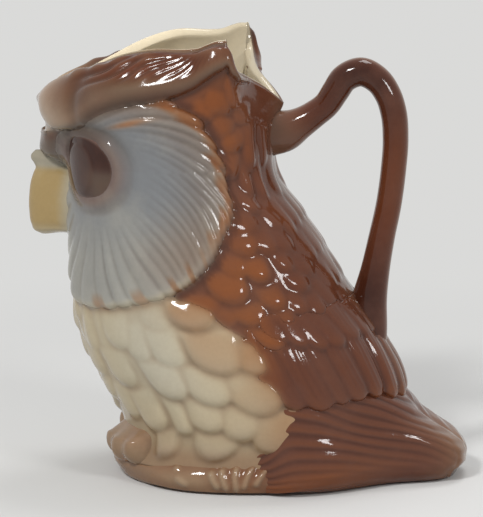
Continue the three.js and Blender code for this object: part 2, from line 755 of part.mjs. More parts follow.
// A wing: two tiers of long feathers that lie side by side and sweep backwards.
const WING_LINES = [
  // share of the way up, thickness as a share of the lift
  [0, 0.7],
  [0.08, 1],
  [0.45, 0.72],
  [0.56, 0.6],
  [0.6, 1.5],
  [0.8, 1.1],
  [1, 0.5],
];
const wingFoot = column(WING_FOOT_SHARES, 1, HEIGHT);
function wingLine([up, thickness], grow = 0) {
  return (s) => {
    const gap = PIECE_GAP / 2 / headDegree;
    const sweep = WING_SWEEP * up;
    const angle = THREE.MathUtils.lerp(wingFront + sweep - grow / headDegree, 180 - gap, s);
    const place = s * WING_FEATHERS;
    const across = 2 * (place - Math.floor(place)) - 1;
    const ridge = grow ? 0 : 1 - across * across;
    const foot = wingFoot(s) - grow;
    const top = HEIGHT * THREE.MathUtils.lerp(WING_TOP_SHARES[0], WING_TOP_SHARES[1], s) + grow;
    const scallop = WING_FEATHER_TIP * (1 - ridge) * (1 - up) * (grow ? 0 : 1);
    const relief = SEAT_GAP + EDGE_THICKNESS + WING_LIFT * thickness * (0.55 + 0.45 * ridge);
    return [angle, THREE.MathUtils.lerp(foot + scallop, top, up), relief];
  };
}
const wingGeometry = () => sprig(WING_LINES.map((line) => wingLine(line)), WING_FEATHERS * 4, WING_FEATHERS, 4);
const wingBlock = () =>
  block(
    steps(4).map((up) =>
      steps(WING_FEATHERS * 4).map((s) => {
        const [angle, height] = wingLine([up, 0], PIECE_GAP * 1.5)(s);
        return [Math.min(angle, 181), height];
      }),
    ),
  );

// The foot: a plate with a flat ring under it and a skirt that the vessel stands in.
function footRing(height, out) {
  return ring((angle) => formPoint(angle, height).addScaledVector(sectionOutwardAt(angle, height), out));
}
function sectionOutwardAt(angle, height) {
  const along = bodySection(angle + FINE_STEP, height).sub(bodySection(angle - FINE_STEP, height));
  return new THREE.Vector3(along.y, -along.x, 0).normalize();
}
function footBaseGeometry() {
  const flat = (points, height) => points.map((point) => point.clone().setZ(height));
  const rings = [
    flat(footRing(0, -FOOT_BEVEL - FOOT_RING - FOOT_RECESS), FOOT_RECESS),
    flat(footRing(0, -FOOT_BEVEL - FOOT_RING), 0),
    flat(footRing(0, -FOOT_BEVEL), 0),
    flat(footRing(0, -FOOT_BEVEL * 0.3), FOOT_BEVEL * 0.35),
    flat(footRing(FOOT_BEVEL, 0), FOOT_BEVEL),
    footRing(FOOT_SKIRT * 0.7, 0),
    flat(footRing(FOOT_SKIRT, -FOOT_BEVEL * 0.2), FOOT_SKIRT),
    flat(footRing(FOOT_SKIRT, -PLUMAGE + SEAT_GAP), FOOT_SKIRT),
    flat(footRing(FOOT_SKIRT * 0.7, -PLUMAGE + SEAT_GAP), FOOT_SKIRT * 0.7),
    flat(footRing(FOOT_PLATE, -PLUMAGE + SEAT_GAP), FOOT_PLATE),
  ];
  const centre = (bodyFront(0) + bodyBack(0)) / 2;
  return ringBody(rings, new THREE.Vector3(centre, 0, FOOT_RECESS), new THREE.Vector3(centre, 0, FOOT_PLATE));
}
function footBlock() {
  const heights = [0, 0.25, 0.5, 0.75, 1].map((share) => share * (FOOT_SKIRT + PIECE_GAP));
  const rings = heights.map((height) => footRing(height, PIECE_GAP));
  const below = rings[0].map((point) => point.clone().setZ(-FOOT_PLATE));
  const pole = (height) => new THREE.Vector3(0, 0, height);
  return toSolid(ringBody([below, ...rings], pole(-FOOT_PLATE), pole(FOOT_SKIRT + PIECE_GAP)));
}

// A foot: the toes that show in front, under the breast.
function toesGeometry(grow = 0) {
  const columns = TOES * 4;
  const rows = [0, 0.12, 0.4, 0.7, 0.92, 1];
  const line = (up) => (s) => {
    const place = s * TOES;
    const across = 2 * (place - Math.floor(place)) - 1;
    const round = Math.sqrt(Math.max(1 - 0.85 * across * across, 0));
    const height = TOE_FOOT - grow + (TOE_TOP_SHARE * HEIGHT - TOE_FOOT + 2 * grow) * up;
    const angle = THREE.MathUtils.lerp(TOE_ANGLES[0] - grow, TOE_ANGLES[1] + grow, s);
    const lift = TOE_LIFT * Math.sin(Math.PI * (0.22 + 0.72 * (1 - up))) * round;
    return [angle, height, PLUMAGE + EDGE_THICKNESS * 0.2 + lift + grow];
  };
  return sprig(rows.map((up) => line(up)), columns, TOES * 2, 2);
}

// The beak: a smooth wedge between the discs.
const BEAK_SIDES = 10;
function beakGeometry(grow = 0) {
  const low = BEAK_HEIGHT_SHARES[0] * HEIGHT - grow;
  const high = BEAK_HEIGHT_SHARES[1] * HEIGHT + grow;
  const root = BEAK_ROOT_SHARE * DEPTH;
  const rings = BEAK_SHARES.map(([up, frontShare, widthShare]) => {
    const front = frontShare * DEPTH - grow;
    const halfWidth = widthShare * BEAK_HALF_WIDTH + grow;
    return steps(BEAK_SIDES).map((t) => {
      const turn = Math.PI * (t - 0.5);
      return new THREE.Vector3(root + (front - root) * Math.cos(turn) ** 0.8, halfWidth * Math.sin(turn), low + (high - low) * up);
    });
  });
  const pole = (index, height) => new THREE.Vector3((root + BEAK_SHARES.at(index)[1] * DEPTH) / 2, 0, height);
  return ringBody(rings, pole(0, low), pole(-1, high));
}

// The tail: a fan of feathers that comes out under the wings. A place on it is a share of the way
// from the side to the tip and a share of the way up from its edge to its root on the body.
const tailAngle = column(TAIL_TOP_SHARES, 1, 1);
const tailTop = column(TAIL_TOP_SHARES, 2, HEIGHT);
const tailProfile = column(TAIL_PROFILE_SHARES, 1, 1);
const tailHalfWidth = column(TAIL_PLAN_SHARES.map(([x, halfWidth]) => [x * DEPTH, halfWidth]), 1, WIDTH);
function tailPoint(share, up, grow) {
  const top = tailTop(share);
  const root = castWall(tailAngle(share), top, SEAT_GAP);
  const [front, back] = [TAIL_PLAN_SHARES[0][0] * DEPTH, TAIL_PLAN_SHARES.at(-1)[0] * DEPTH];
  const edgeX = front + (back - front) * Math.sin((Math.PI / 2) * share) ** TAIL_SPREAD;
  const edge = new THREE.Vector3(edgeX, -tailHalfWidth(edgeX), root.z);
  const height = THREE.MathUtils.lerp(TAIL_CLEARANCE, top, up);
  const along = height + TAIL_LEAN * TAIL_LENGTH * share;
  const groove = grow || share === 1 ? 0 : (TAIL_GROOVE / 2) * (1 - Math.cos((2 * Math.PI * along) / TAIL_GROOVE_PITCH));
  const away = new THREE.Vector3(edge.x, edge.y * 2, 0).normalize();
  const point = root.clone().lerp(edge, tailProfile(up)).addScaledVector(away, grow - groove);
  return point.setZ(height + THREE.MathUtils.lerp(-grow, grow, up));
}
function tailGeometry(grow = 0) {
  const rings = steps(TAIL_ROWS).map((up) => {
    const left = steps(TAIL_COLUMNS).map((share) => tailPoint(share, up, grow));
    const right = left.slice(0, -1).map(({ x, y, z }) => new THREE.Vector3(x, -y, z));
    const front = new THREE.Vector3(left[0].x * TAIL_ROOT, 0, left[0].z);
    return [front, ...left, ...right.reverse()];
  });
  const pole = (ring) => new THREE.Vector3(ring[0].x * 2, 0, ring[0].z);
  return ringBody(rings, pole(rings[0]), pole(rings.at(-1)));
}

// The handle: an oval strap that rises from the nape, arches over and runs into the back.
function handleGeometry(grow = 0) {
  const path = new THREE.CatmullRomCurve3(
    HANDLE_PATH_SHARES.map(([x, height]) => new THREE.Vector3(x * DEPTH, 0, height * HEIGHT)),
    false,
    "centripetal",
  );
  const swells = HANDLE_PATH_SHARES.map((row) => row[2]);
  const swell = smoothCurve(swells.map((value, i) => [i / (swells.length - 1), value]));
  const rings = steps(HANDLE_STEPS).map((t) => {
    const centre = path.getPoint(t);
    const along = path.getTangent(t);
    const across = new THREE.Vector3(-along.z, 0, along.x);
    return Array.from({ length: HANDLE_SIDES }, (_, i) => {
      const turn = (2 * Math.PI * i) / HANDLE_SIDES;
      const thick = (HANDLE_THICKNESS * swell(t)) / 2 + grow;
      const wide = (HANDLE_WIDTH * Math.sqrt(swell(t))) / 2 + grow;
      return centre.clone().addScaledVector(across, thick * Math.cos(turn)).setY(wide * Math.sin(turn));
    });
  });
  return ringBody(rings, path.getPoint(0), path.getPoint(1));
}

// Every piece is cut to the wall that carries it and back from its neighbours.
const both = (solids) => solids.flatMap((solid) => [solid, solid.mirror([0, 1, 0])]);
const core = castCore(SEAT_GAP);
const foot = footBlock();
const toes = toSolid(toesGeometry(PIECE_GAP));
const beak = toSolid(beakGeometry(PIECE_GAP));
const tail = toSolid(tailGeometry(PIECE_GAP));
const handle = toSolid(handleGeometry(PIECE_GAP));
const disc = discBlock();
const brow = browBlock();
const wing = wingBlock();
const mantle = mantleBlock();

const SINGLE_PIECES = {
  vessel: [vesselGeometry(), "ivory"],
  foot_base: [footBaseGeometry(), "tan"],
  breast_plumage: [cut(breastGeometry(), [core, foot, tail, beak, ...both([toes, disc, wing, mantle])]), "ivory"],
  beak: [cut(beakGeometry(), [core]), "yellow"],
  tail: [cut(tailGeometry(), [core, foot]), "brown"],
  handle: [cut(handleGeometry(), [core]), "brown"],
};
const LEFT_PIECES = {
  face_disc: [cut(discGeometry(), [core, beak]), "grey"],
  eye: [cut(eyeGeometry(), [core]), "brown"],
  brow: [cut(browGeometry(), [core, disc, beak]), "brown"],
  wing: [cut(wingGeometry(), [core, tail, handle]), "brown"],
  mantle: [cut(mantleGeometry(), [core, disc, brow, wing, handle]), "brown"],
  foot: [cut(toesGeometry(), [core, foot]), "tan"],
};
const GLAZES = { ivory: 0xe4dac4, brown: 0x8f5535, grey: 0xa9adb2, yellow: 0xd6bb7d, tan: 0xa88468 };

const group = new THREE.Group();
function addPiece(name, geometry, glaze) {
  const material = new THREE.MeshStandardMaterial({ color: GLAZES[glaze], roughness: 0.12, metalness: 0 });
  const mesh = new THREE.Mesh(geometry, material);
  mesh.name = name;
  group.add(mesh);
}
for (const [name, [geometry, glaze]] of Object.entries(SINGLE_PIECES)) addPiece(name, geometry, glaze);
for (const [name, [geometry, glaze]] of Object.entries(LEFT_PIECES)) {
  addPiece(`${name}_left`, geometry, glaze);
  addPiece(`${name}_right`, mirrored(geometry), glaze);
}

export default group;
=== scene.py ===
"""Glazed owl pitcher: the visual pieces, their glazes, the light and the camera.

The owl looks along -X, +Z is up and its left side is -Y. Lengths inside the modelling functions
are in millimetres, and angles go round the body in degrees, from 0 in front to 180 at the back.
"""
import math

import bmesh
import bpy
import numpy as np
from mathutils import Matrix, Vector


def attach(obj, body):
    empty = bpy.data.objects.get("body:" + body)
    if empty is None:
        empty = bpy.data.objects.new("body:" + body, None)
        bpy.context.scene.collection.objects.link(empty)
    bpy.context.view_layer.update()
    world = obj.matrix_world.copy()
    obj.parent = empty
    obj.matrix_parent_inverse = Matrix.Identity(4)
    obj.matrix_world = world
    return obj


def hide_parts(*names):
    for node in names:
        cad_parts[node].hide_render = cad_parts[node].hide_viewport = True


bl_info = {
    "name": "Owl Pitcher",
    "version": (1, 0, 0),
    "blender": (4, 5, 0),
    "location": "View3D > Sidebar > Owl Pitcher",
    "description": "Models a glazed porcelain pitcher in the form of a sitting owl",
    "category": "Add Mesh",
}

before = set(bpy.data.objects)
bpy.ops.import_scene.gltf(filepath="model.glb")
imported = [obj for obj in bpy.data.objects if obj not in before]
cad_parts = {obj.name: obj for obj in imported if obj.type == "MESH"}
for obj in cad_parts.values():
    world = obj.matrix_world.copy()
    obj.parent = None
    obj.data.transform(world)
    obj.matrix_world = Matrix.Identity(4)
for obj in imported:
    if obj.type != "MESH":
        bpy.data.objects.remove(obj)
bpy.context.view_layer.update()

MILLIMETRE = 0.001
LEFT = 1
RIGHT = -1
MIDDLE = 0
# Millimetres or degrees to each side of a place, over which a slope is measured.
NUDGE = 0.5

# The body's cross-sections, in shares: height of the owl's height, front and back of its depth,
# and half width of its width.
BODY_SHARES = [
    (0, -0.294, 0.266, 0.44),
    (0.04, -0.311, 0.287, 0.46),
    (0.1, -0.291, 0.307, 0.455),
    (0.16, -0.308, 0.331, 0.474),
    (0.225, -0.344, 0.335, 0.492),
    (0.29, -0.378, 0.319, 0.5),
    (0.355, -0.398, 0.287, 0.494),
    (0.435, -0.404, 0.238, 0.474),
    (0.515, -0.405, 0.19, 0.453),
    (0.595, -0.406, 0.137, 0.435),
    (0.675, -0.409, 0.081, 0.424),
    (0.755, -0.416, 0.071, 0.417),
    (0.835, -0.436, 0.077, 0.411),
]
# The rim: angle, then in shares x of the depth, half width of the width and height of the height.
RIM_SHARES = [
    (0, -0.464, 0, 0.856),
    (20, -0.443, 0.055, 0.868),
    (40, -0.398, 0.103, 0.895),
    (60, -0.331, 0.163, 0.932),
    (75, -0.262, 0.236, 0.963),
    (90, -0.186, 0.3, 0.979),
    (105, -0.105, 0.338, 0.981),
    (109, -0.084, 0.344, 0.984),
    (112.5, -0.065, 0.352, 0.992),
    (117, -0.045, 0.358, 0.999),
    (121, -0.03, 0.361, 1),
    (124.5, -0.02, 0.362, 0.998),
    (127, -0.015, 0.358, 0.968),
    (131, -0.009, 0.336, 0.946),
    (136, -0.003, 0.284, 0.932),
    (143, 0.006, 0.21, 0.92),
    (151, 0.019, 0.145, 0.906),
    (161, 0.041, 0.088, 0.888),
    (171, 0.062, 0.04, 0.867),
    (180, 0.075, 0, 0.852),
]
# How far the wall swells over the straight line from the shoulder to the rim, of the width.
CROWN_BULGE_SHARES = [
    (0, 0.03),
    (20, 0.07),
    (45, 0.137),
    (75, 0.123),
    (100, 0.065),
    (125, 0.014),
    (180, 0),
]
# How much of its rise the crown's curve follows the wall at its foot, and drops from the rim.
CROWN_PULL_SHARES = (0.38, 0.3)
# How much higher the rim's wave is on the right side than on the left, and where.
FAR_RIM_RISE = 1.4
FAR_RIM_ANGLE = 92
FAR_RIM_SPREAD = 20
SHOULDER_SHARE = 0.788
# The power of the cross-sections' rounding: 2 makes an ellipse, and more makes them squarer.
BODY_SQUARENESS = 2.15

# The handle in the plane of symmetry: x of the depth, height of the height, swell.
HANDLE_PATH_SHARES = [
    (0.048, 0.772, 1.8),
    (0.086, 0.779, 1.6),
    (0.12, 0.796, 1.22),
    (0.15, 0.816, 1.06),
    (0.177, 0.838, 1.02),
    (0.197, 0.868, 1.05),
    (0.217, 0.897, 1.08),
    (0.254, 0.912, 1.1),
    (0.29, 0.895, 1.05),
    (0.314, 0.862, 1.01),
    (0.327, 0.822, 1),
    (0.332, 0.765, 0.98),
    (0.328, 0.695, 0.97),
    (0.318, 0.615, 0.98),
    (0.303, 0.54, 1.01),
    (0.289, 0.465, 1.12),
    (0.277, 0.4, 1.36),
    (0.268, 0.335, 1.7),
    (0.26, 0.275, 1.9),
]
# The beak, from its underside to its top: share up, front edge of the depth, half width share.
BEAK_SHARES = [
    (0, -0.473, 0.5),
    (0.03, -0.486, 0.78),
    (0.1, -0.495, 0.93),
    (0.25, -0.5, 1),
    (0.45, -0.4995, 0.96),
    (0.62, -0.495, 0.86),
    (0.72, -0.489, 0.7),
    (0.79, -0.484, 0.5),
    (0.84, -0.488, 0.4),
    (0.89, -0.494, 0.37),
    (0.94, -0.494, 0.32),
    (1, -0.484, 0.2),
]
# The tail's outline from above: x of the depth and half width of the width.
TAIL_PLAN_SHARES = [
    (0.05, 0.425),
    (0.11, 0.46),
    (0.17, 0.447),
    (0.23, 0.4),
    (0.29, 0.318),
    (0.345, 0.245),
    (0.4, 0.198),
    (0.45, 0.165),
    (0.48, 0.125),
    (0.494, 0.075),
    (0.5, 0),
]


def length_property(name, description, millimetres):
    return bpy.props.FloatProperty(
        name=name, description=description, default=millimetres * MILLIMETRE, unit="LENGTH"
    )


class OwlSizes(bpy.types.PropertyGroup):
    """Sizes of the pitcher."""

    height: length_property("Height", "From the table to the ear tufts", 123.8)
    depth: length_property("Depth", "From the beak to the tip of the tail", 123.8)
    width: length_property("Width", "Across the belly", 69.6)
    wall: length_property("Wall", "Thickness of the cast wall", 2.6)
    plumage: length_property("Plumage", "Mean depth of the relief on the cast wall", 2.4)
    rim_round: length_property("Rim round", "Height of the rim's rounded crown", 0.9)
    eye_radius: length_property("Eye radius", "Radius of an eye at its rim", 8.6)
    disc_radius: length_property("Disc reach", "Longest reach of a face disc from the eye", 41)
    beak_half_width: length_property("Beak half width", "Half the beak's width at its root", 6.6)
    handle_thickness: length_property("Handle thickness", "The handle seen from the side", 7.3)
    handle_width: length_property("Handle width", "The handle seen from behind", 8.6)
    mesh_step: length_property("Mesh step", "Distance between the points of the relief", 0.42)


def colour_property(name, description, red, green, blue):
    return bpy.props.FloatVectorProperty(
        name=name,
        description=description,
        default=(red / 255, green / 255, blue / 255),
        size=3,
        min=0,
        max=1,
        subtype="COLOR_GAMMA",
    )


class OwlGlazes(bpy.types.PropertyGroup):
    """Glaze colours of the pitcher, as they look on a screen."""

    ivory: colour_property("Ivory", "Inside and rim", 176, 165, 142)
    cream: colour_property("Cream", "Breast feathers", 178, 165, 138)
    white: colour_property("White", "Lightest breast feathers", 172, 167, 152)
    buff: colour_property("Buff", "Lower breast and bib", 150, 130, 103)
    grey: colour_property("Disc grey", "Face discs", 114, 116, 118)
    orange: colour_property("Orange brown", "Thin brown glaze on the shoulders", 124, 68, 30)
    brown: colour_property("Brown", "Wings, back and handle", 82, 40, 22)
    # Dark brown is also used as painted shade in creases, hollows and under the face discs' edges.
    dark: colour_property("Dark brown", "Brown glaze in the grooves", 46, 20, 12)
    milky: colour_property("Milky brown", "Thick glaze over the brown", 98, 62, 48)
    taupe: colour_property("Taupe", "Brows", 118, 96, 80)
    taupe_shade: colour_property("Taupe shade", "Under the brows", 72, 60, 51)
    yellow: colour_property("Yellow", "Beak", 156, 131, 84)
    eye: colour_property("Eye", "Eyes under thick glaze", 66, 47, 41)
    eye_red: colour_property("Eye red", "Eyes under thin glaze", 52, 27, 19)
    tan: colour_property("Tan", "Front of the base", 127, 97, 73)


def sizes_in_millimetres(context):
    sizes = context.scene.owl_sizes
    return {name: getattr(sizes, name) / MILLIMETRE for name in OwlSizes.__annotations__}


def glazes_of(context):
    glazes = context.scene.owl_glazes
    return {name: np.array(getattr(glazes, name)) for name in OwlGlazes.__annotations__}


# Curves and blends


def smooth_curve(table, column, unit=1, position_unit=1):
    """A function that runs smoothly through one column of a table."""
    places = np.array([row[0] for row in table], float) * position_unit
    values = np.array([row[column] for row in table], float) * unit
    spans = np.diff(places)
    chords = np.diff(values) / spans
    slopes = np.empty_like(values)
    slopes[0] = chords[0]
    slopes[-1] = chords[-1]
    slopes[1:-1] = (chords[:-1] * spans[1:] + chords[1:] * spans[:-1]) / (spans[:-1] + spans[1:])

    def at(position):
        i = np.clip(np.searchsorted(places, position) - 1, 0, len(spans) - 1)
        t = np.clip((position - places[i]) / spans[i], 0, 1)
        rest = 1 - t
        return (
            (1 + 2 * t) * rest**2 * values[i]
            + t * rest**2 * spans[i] * slopes[i]
            + t * t * (3 - 2 * t) * values[i + 1]
            - t * t * rest * spans[i] * slopes[i + 1]
        )

    return at


def smooth_step(low, high, value):
    t = np.clip((value - low) / (high - low), 0, 1)
    return t * t * (3 - 2 * t)


def bump_at(value, middle, spread):
    return np.exp(-(((value - middle) / spread) ** 2))


def mix(first, second, share):
    return first + (second - first) * np.asarray(share)[..., None]


def signed(angle):
    """The same angle between -180 and 180 degrees."""
    return (angle + 180) % 360 - 180


def blurred(field, steps):
    """The field smoothed over a number of grid steps each way."""
    reach = int(math.ceil(steps * 2.5))
    weights = np.exp(-0.5 * (np.arange(-reach, reach + 1) / steps) ** 2)
    weights /= weights.sum()
    for axis in (0, 1):
        padding = [(0, 0), (0, 0)]
        padding[axis] = (reach, reach)
        padded = np.pad(field, padding, mode="edge")
        count = field.shape[axis]
        shifted = [np.take(padded, np.arange(k, k + count), axis) for k in range(len(weights))]
        field = sum(weight * moved for weight, moved in zip(weights, shifted))
    return field


# The owl's form


class OwlForm:
    """The overall form that the relief reaches on the whole, and the cast wall under it."""

    def __init__(self, sizes):
        self.sizes = sizes
        height = sizes["height"]
        depth = sizes["depth"]
        width = sizes["width"]
        self.front = smooth_curve(BODY_SHARES, 1, depth, height)
        self.back = smooth_curve(BODY_SHARES, 2, depth, height)
        self.half_width = smooth_curve(BODY_SHARES, 3, width, height)
        self.rim_x = smooth_curve(RIM_SHARES, 1, depth)
        self.rim_half_width = smooth_curve(RIM_SHARES, 2, width)
        self.rim_height = smooth_curve(RIM_SHARES, 3, height)
        self.bulge = smooth_curve(CROWN_BULGE_SHARES, 1, width)
        self.shoulder = SHOULDER_SHARE * height
        self.top = height

    def section(self, angle, height):
        front = self.front(height)
        back = self.back(height)
        cosine = np.cos(np.radians(angle))
        sine = np.sin(np.radians(angle))
        power = BODY_SQUARENESS
        reach = (np.abs(cosine) ** power + np.abs(sine) ** power) ** (-1 / power)
        x = (front + back) / 2 - (back - front) / 2 * cosine * reach
        y = -self.half_width(height) * sine * reach
        return np.stack([x, y, height + 0 * x], -1)

    def rim(self, angle):
        folded = np.abs(signed(angle))
        side = np.where(signed(angle) < 0, RIGHT, LEFT)
        height = self.rim_height(folded) - self.sizes["rim_round"]
        height += FAR_RIM_RISE * bump_at(folded, FAR_RIM_ANGLE, FAR_RIM_SPREAD) * (side == RIGHT)
        return np.stack([self.rim_x(folded), -side * self.rim_half_width(folded), height], -1)

    def outward(self, angle):
        along = self.section(angle + NUDGE, self.shoulder) - self.section(angle - NUDGE, self.shoulder)
        normal = np.stack([along[..., 1], -along[..., 0], 0 * along[..., 0]], -1)
        return normal / np.linalg.norm(normal, axis=-1, keepdims=True)

    def point(self, angle, height):
        angle, height = np.broadcast_arrays(np.asarray(angle, float), np.asarray(height, float))
        low = self.section(angle, np.minimum(height, self.shoulder))
        up = np.clip((height - self.shoulder) / (self.top - self.shoulder), 0, 1)[..., None]
        foot = self.section(angle, self.shoulder)
        rim = self.rim(angle)
        rise = (rim - foot)[..., 2:]
        lean = (self.section(angle, self.shoulder + NUDGE) - foot) / NUDGE
        folded = np.abs(signed(angle))
        lower = foot + lean * rise * CROWN_PULL_SHARES[0]
        upper = rim + self.outward(angle) * self.bulge(folded)[..., None]
        upper = upper - np.array([0, 0, 1]) * rise * CROWN_PULL_SHARES[1]
        rest = 1 - up
        crown = rest**3 * foot + 3 * rest**2 * up * lower + 3 * rest * up**2 * upper + up**3 * rim
        return np.where((height > self.shoulder)[..., None], crown, low)

    def normal(self, angle, height):
        low = np.maximum(height - NUDGE, 0)
        high = np.minimum(height + NUDGE, self.top)
        upwards = self.point(angle, high) - self.point(angle, low)
        onwards = self.point(angle + NUDGE, height) - self.point(angle - NUDGE, height)
        normal = np.cross(onwards, upwards)
        return normal / np.linalg.norm(normal, axis=-1, keepdims=True)

    def cast(self, angle, height, out):
        """A point at a distance out of the cast wall."""
        fade = smooth_step(self.shoulder, self.top, height)
        distance = out - self.sizes["plumage"] * (1 - fade)
        return self.point(angle, height) + self.normal(angle, height) * np.asarray(distance)[..., None]

    def scale(self, angle, height):
        """Millimetres for one degree round and for one millimetre of height."""
        angle = np.asarray(float(angle))
        height = np.asarray(float(height))
        onwards = self.point(angle + NUDGE, height) - self.point(angle - NUDGE, height)
        high = np.minimum(height + NUDGE, self.top)
        upwards = self.point(angle, high) - self.point(angle, height - NUDGE)
        rise = float(high - height + NUDGE)
        return np.linalg.norm(onwards), np.linalg.norm(upwards) / rise


def form_and_glazes(context):
    """The form, sizes and glazes that the panel's values give."""
    sizes = sizes_in_millimetres(context)
    return OwlForm(sizes), sizes, glazes_of(context)


class Plumage:
    """Relief drawn feather by feather on a grid, with the owner of each place."""

    def __init__(self, columns, rows, scale, step):
        self.columns = columns
        self.rows = rows
        self.scale = scale
        self.step = step
        self.column, self.row = np.meshgrid(columns, rows)
        self.depth = np.zeros_like(self.column)
        self.tint = np.zeros_like(self.column)
        self.owner = np.zeros(self.column.shape, int)

    def feather(self, place, half_width, length, lean, lift, base, tip=1, tint=0, owner=0, **cut):
        """Adds a feather by its tip, its size and its lean off the line straight down."""
        across_scale, up_scale = self.scale(*place)
        reach = length + half_width
        column = np.abs(self.columns - place[0]) * across_scale < reach
        row = np.abs(self.rows - place[1]) * up_scale < reach
        if not column.any() or not row.any():
            return
        cut = {**PLAIN_CUT, **cut}
        window = np.ix_(row, column)
        x = (self.column[window] - place[0]) * across_scale
        y = (self.row[window] - place[1]) * up_scale
        sine = math.sin(math.radians(lean))
        cosine = math.cos(math.radians(lean))
        behind = y * cosine - x * sine
        beside = x * cosine + y * sine + cut["curve"] * behind**2 / length
        rounding = half_width * tip
        out = np.where(
            behind < rounding,
            np.hypot(beside / half_width, (rounding - behind) / rounding),
            np.abs(beside) / half_width,
        )
        inward = np.clip((1 - out) * min(half_width, rounding) / cut["edge"], 0, 1)
        share = np.clip(behind / length, 0, 1)
        crown = 1 - cut["plump"] * np.clip(out, 0, 1) ** 2
        level = base + lift * (1 - share) ** 0.8 * crown * np.sqrt(1 - (1 - inward) ** 2)
        level = level + cut["tilt"] * beside / half_width * inward
        fan = beside / half_width * BARBS_ACROSS + 0.35 * np.sin(behind / length * 5)
        level = level + cut["barbs"] * np.cos(2 * math.pi * fan) * inward * smooth_step(0, 0.25, share)
        inside = (out < 1) & (behind < length) & (level > self.depth[window])
        self.depth[window] = np.where(inside, level, self.depth[window])
        self.tint[window] = np.where(inside, tint, self.tint[window])
        self.owner[window] = np.where(inside, owner, self.owner[window])

    def give(self, where, depth, owner):
        """Gives places a new depth, a plain tint and an owner."""
        self.depth = np.where(where, depth, self.depth)
        self.tint = np.where(where, 0, self.tint)
        self.owner = np.where(where, owner, self.owner)

    def raise_to(self, level, where, owner):
        """Gives an owner the places that lie below a level, and raises them to it."""
        self.give(where & (level > self.depth), level, owner)

    def lump(self, place, radius, rise):
        """Raises or sinks a soft round place."""
        across_scale, up_scale = self.scale(*place)
        x = (self.column - place[0]) * across_scale
        y = (self.row - place[1]) * up_scale
        self.depth += rise * np.exp(-(x * x + y * y) / radius**2)

    def softened(self, field, width):
        return blurred(field, width / self.step)

    def owned(self, owner, width):
        """How much of each place's surroundings an owner has."""
        return self.softened((self.owner == owner).astype(float), width)

    def hollows(self, width):
        """How far each place lies below its surroundings."""
        return self.softened(self.depth, width) - self.depth


# Meshes

# Points closer than this, in metres, are one point.
WELD = 1e-7
# The thickness that a shell of relief gets behind its face, in metres.
SHELL = 0.0008


def linear_light(colours):
    """Screen colours as shares of light."""
    return np.where(colours <= 0.04045, colours / 12.92, ((colours + 0.055) / 1.055) ** 2.4)


def flat_grid(name, columns, rows, size=1):
    shape = bmesh.new()
    bmesh.ops.create_grid(shape, x_segments=columns, y_segments=rows, size=size)
    mesh = bpy.data.meshes.new(name)
    shape.to_mesh(mesh)
    shape.free()
    return mesh


def grid_object(name, points, colours, closed=False, turned=False, keep=None):
    """An object from a grid of points, with its glaze colour at each point.

    A closed one is a whole body, and any other is a shell that gets its thickness behind it.
    """
    rows, columns = points.shape[0] - 1, points.shape[1] - 1
    mesh = flat_grid(name, columns, rows)
    flat = np.empty(len(mesh.vertices) * 3)
    mesh.vertices.foreach_get("co", flat)
    flat = flat.reshape(-1, 3)
    column = np.rint((flat[:, 0] + 1) / 2 * columns).astype(int)
    row = np.rint((flat[:, 1] + 1) / 2 * rows).astype(int)
    mesh.vertices.foreach_set("co", (points[row, column] * MILLIMETRE).ravel())
    with_alpha = np.ones((len(flat), 4))
    with_alpha[:, :3] = linear_light(colours)[row, column]
    mesh.attributes.new("glaze", "FLOAT_COLOR", "POINT").data.foreach_set("color", with_alpha.ravel())
    shape = bmesh.new()
    shape.from_mesh(mesh)
    if keep is not None:
        kept = keep[row, column]
        hidden = [face for face in shape.faces if not any(kept[corner.index] for corner in face.verts)]
        bmesh.ops.delete(shape, geom=hidden, context="FACES")
    if closed:
        bmesh.ops.remove_doubles(shape, verts=shape.verts, dist=WELD)
        bmesh.ops.dissolve_degenerate(shape, edges=shape.edges, dist=WELD / 10)
        bmesh.ops.recalc_face_normals(shape, faces=shape.faces)
    elif turned:
        bmesh.ops.reverse_faces(shape, faces=shape.faces)
    for face in shape.faces:
        face.smooth = True
    shape.to_mesh(mesh)
    shape.free()
    thing = bpy.data.objects.new(name, mesh)
    bpy.context.scene.collection.objects.link(thing)
    if not closed:
        clay = thing.modifiers.new("Clay", "SOLIDIFY")
        clay.thickness = SHELL
        clay.offset = -1
    return thing


def finish(thing, material, node):
    """Gives a piece its glaze and its place in the frame."""
    thing.data.materials.append(material)
    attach(thing, "root")
    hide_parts(node)
    return thing


def grid_normals(points):
    normals = np.cross(np.gradient(points, axis=1), np.gradient(points, axis=0))
    lengths = np.linalg.norm(normals, axis=-1, keepdims=True)
    return normals / np.maximum(lengths, 1e-9)


# Glazes


class Coat:
    """Glaze over a grid of places, sprayed on in layers."""

    def __init__(self, glazes, ground, shape, tone=1):
        self.glazes = glazes
        self.colours = glazes[ground] * tone + np.zeros((*shape, 3))

    def spray(self, glaze, share, tone=1):
        """Adds a layer of a glaze, by its name or colours, as thick as its share says."""
        colours = self.glazes[glaze] * tone if isinstance(glaze, str) else glaze
        self.colours = mix(self.colours, colours, share)
        return self


def feed(tree, node, inputs):
    """Gives each input its value, or links it to the output that feeds it."""
    for name, value in inputs.items():
        if isinstance(value, bpy.types.NodeSocket):
            tree.links.new(value, node.inputs[name])
        else:
            node.inputs[name].default_value = value


def add_node(tree, kind, output, inputs=(), **settings):
    """Adds a node, and returns one of its outputs."""
    node = tree.nodes.new(kind)
    for name, value in settings.items():
        setattr(node, name, value)
    feed(tree, node, dict(inputs))
    return node.outputs[output]


# The glaze's skin: how far it lets light bend, and the waves and specks in a metre.
GLAZE_IOR = 1.38
WAVES_IN_A_METRE = 230
SPECKS_IN_A_METRE = 900
WAVE_HEIGHT = 0.0006


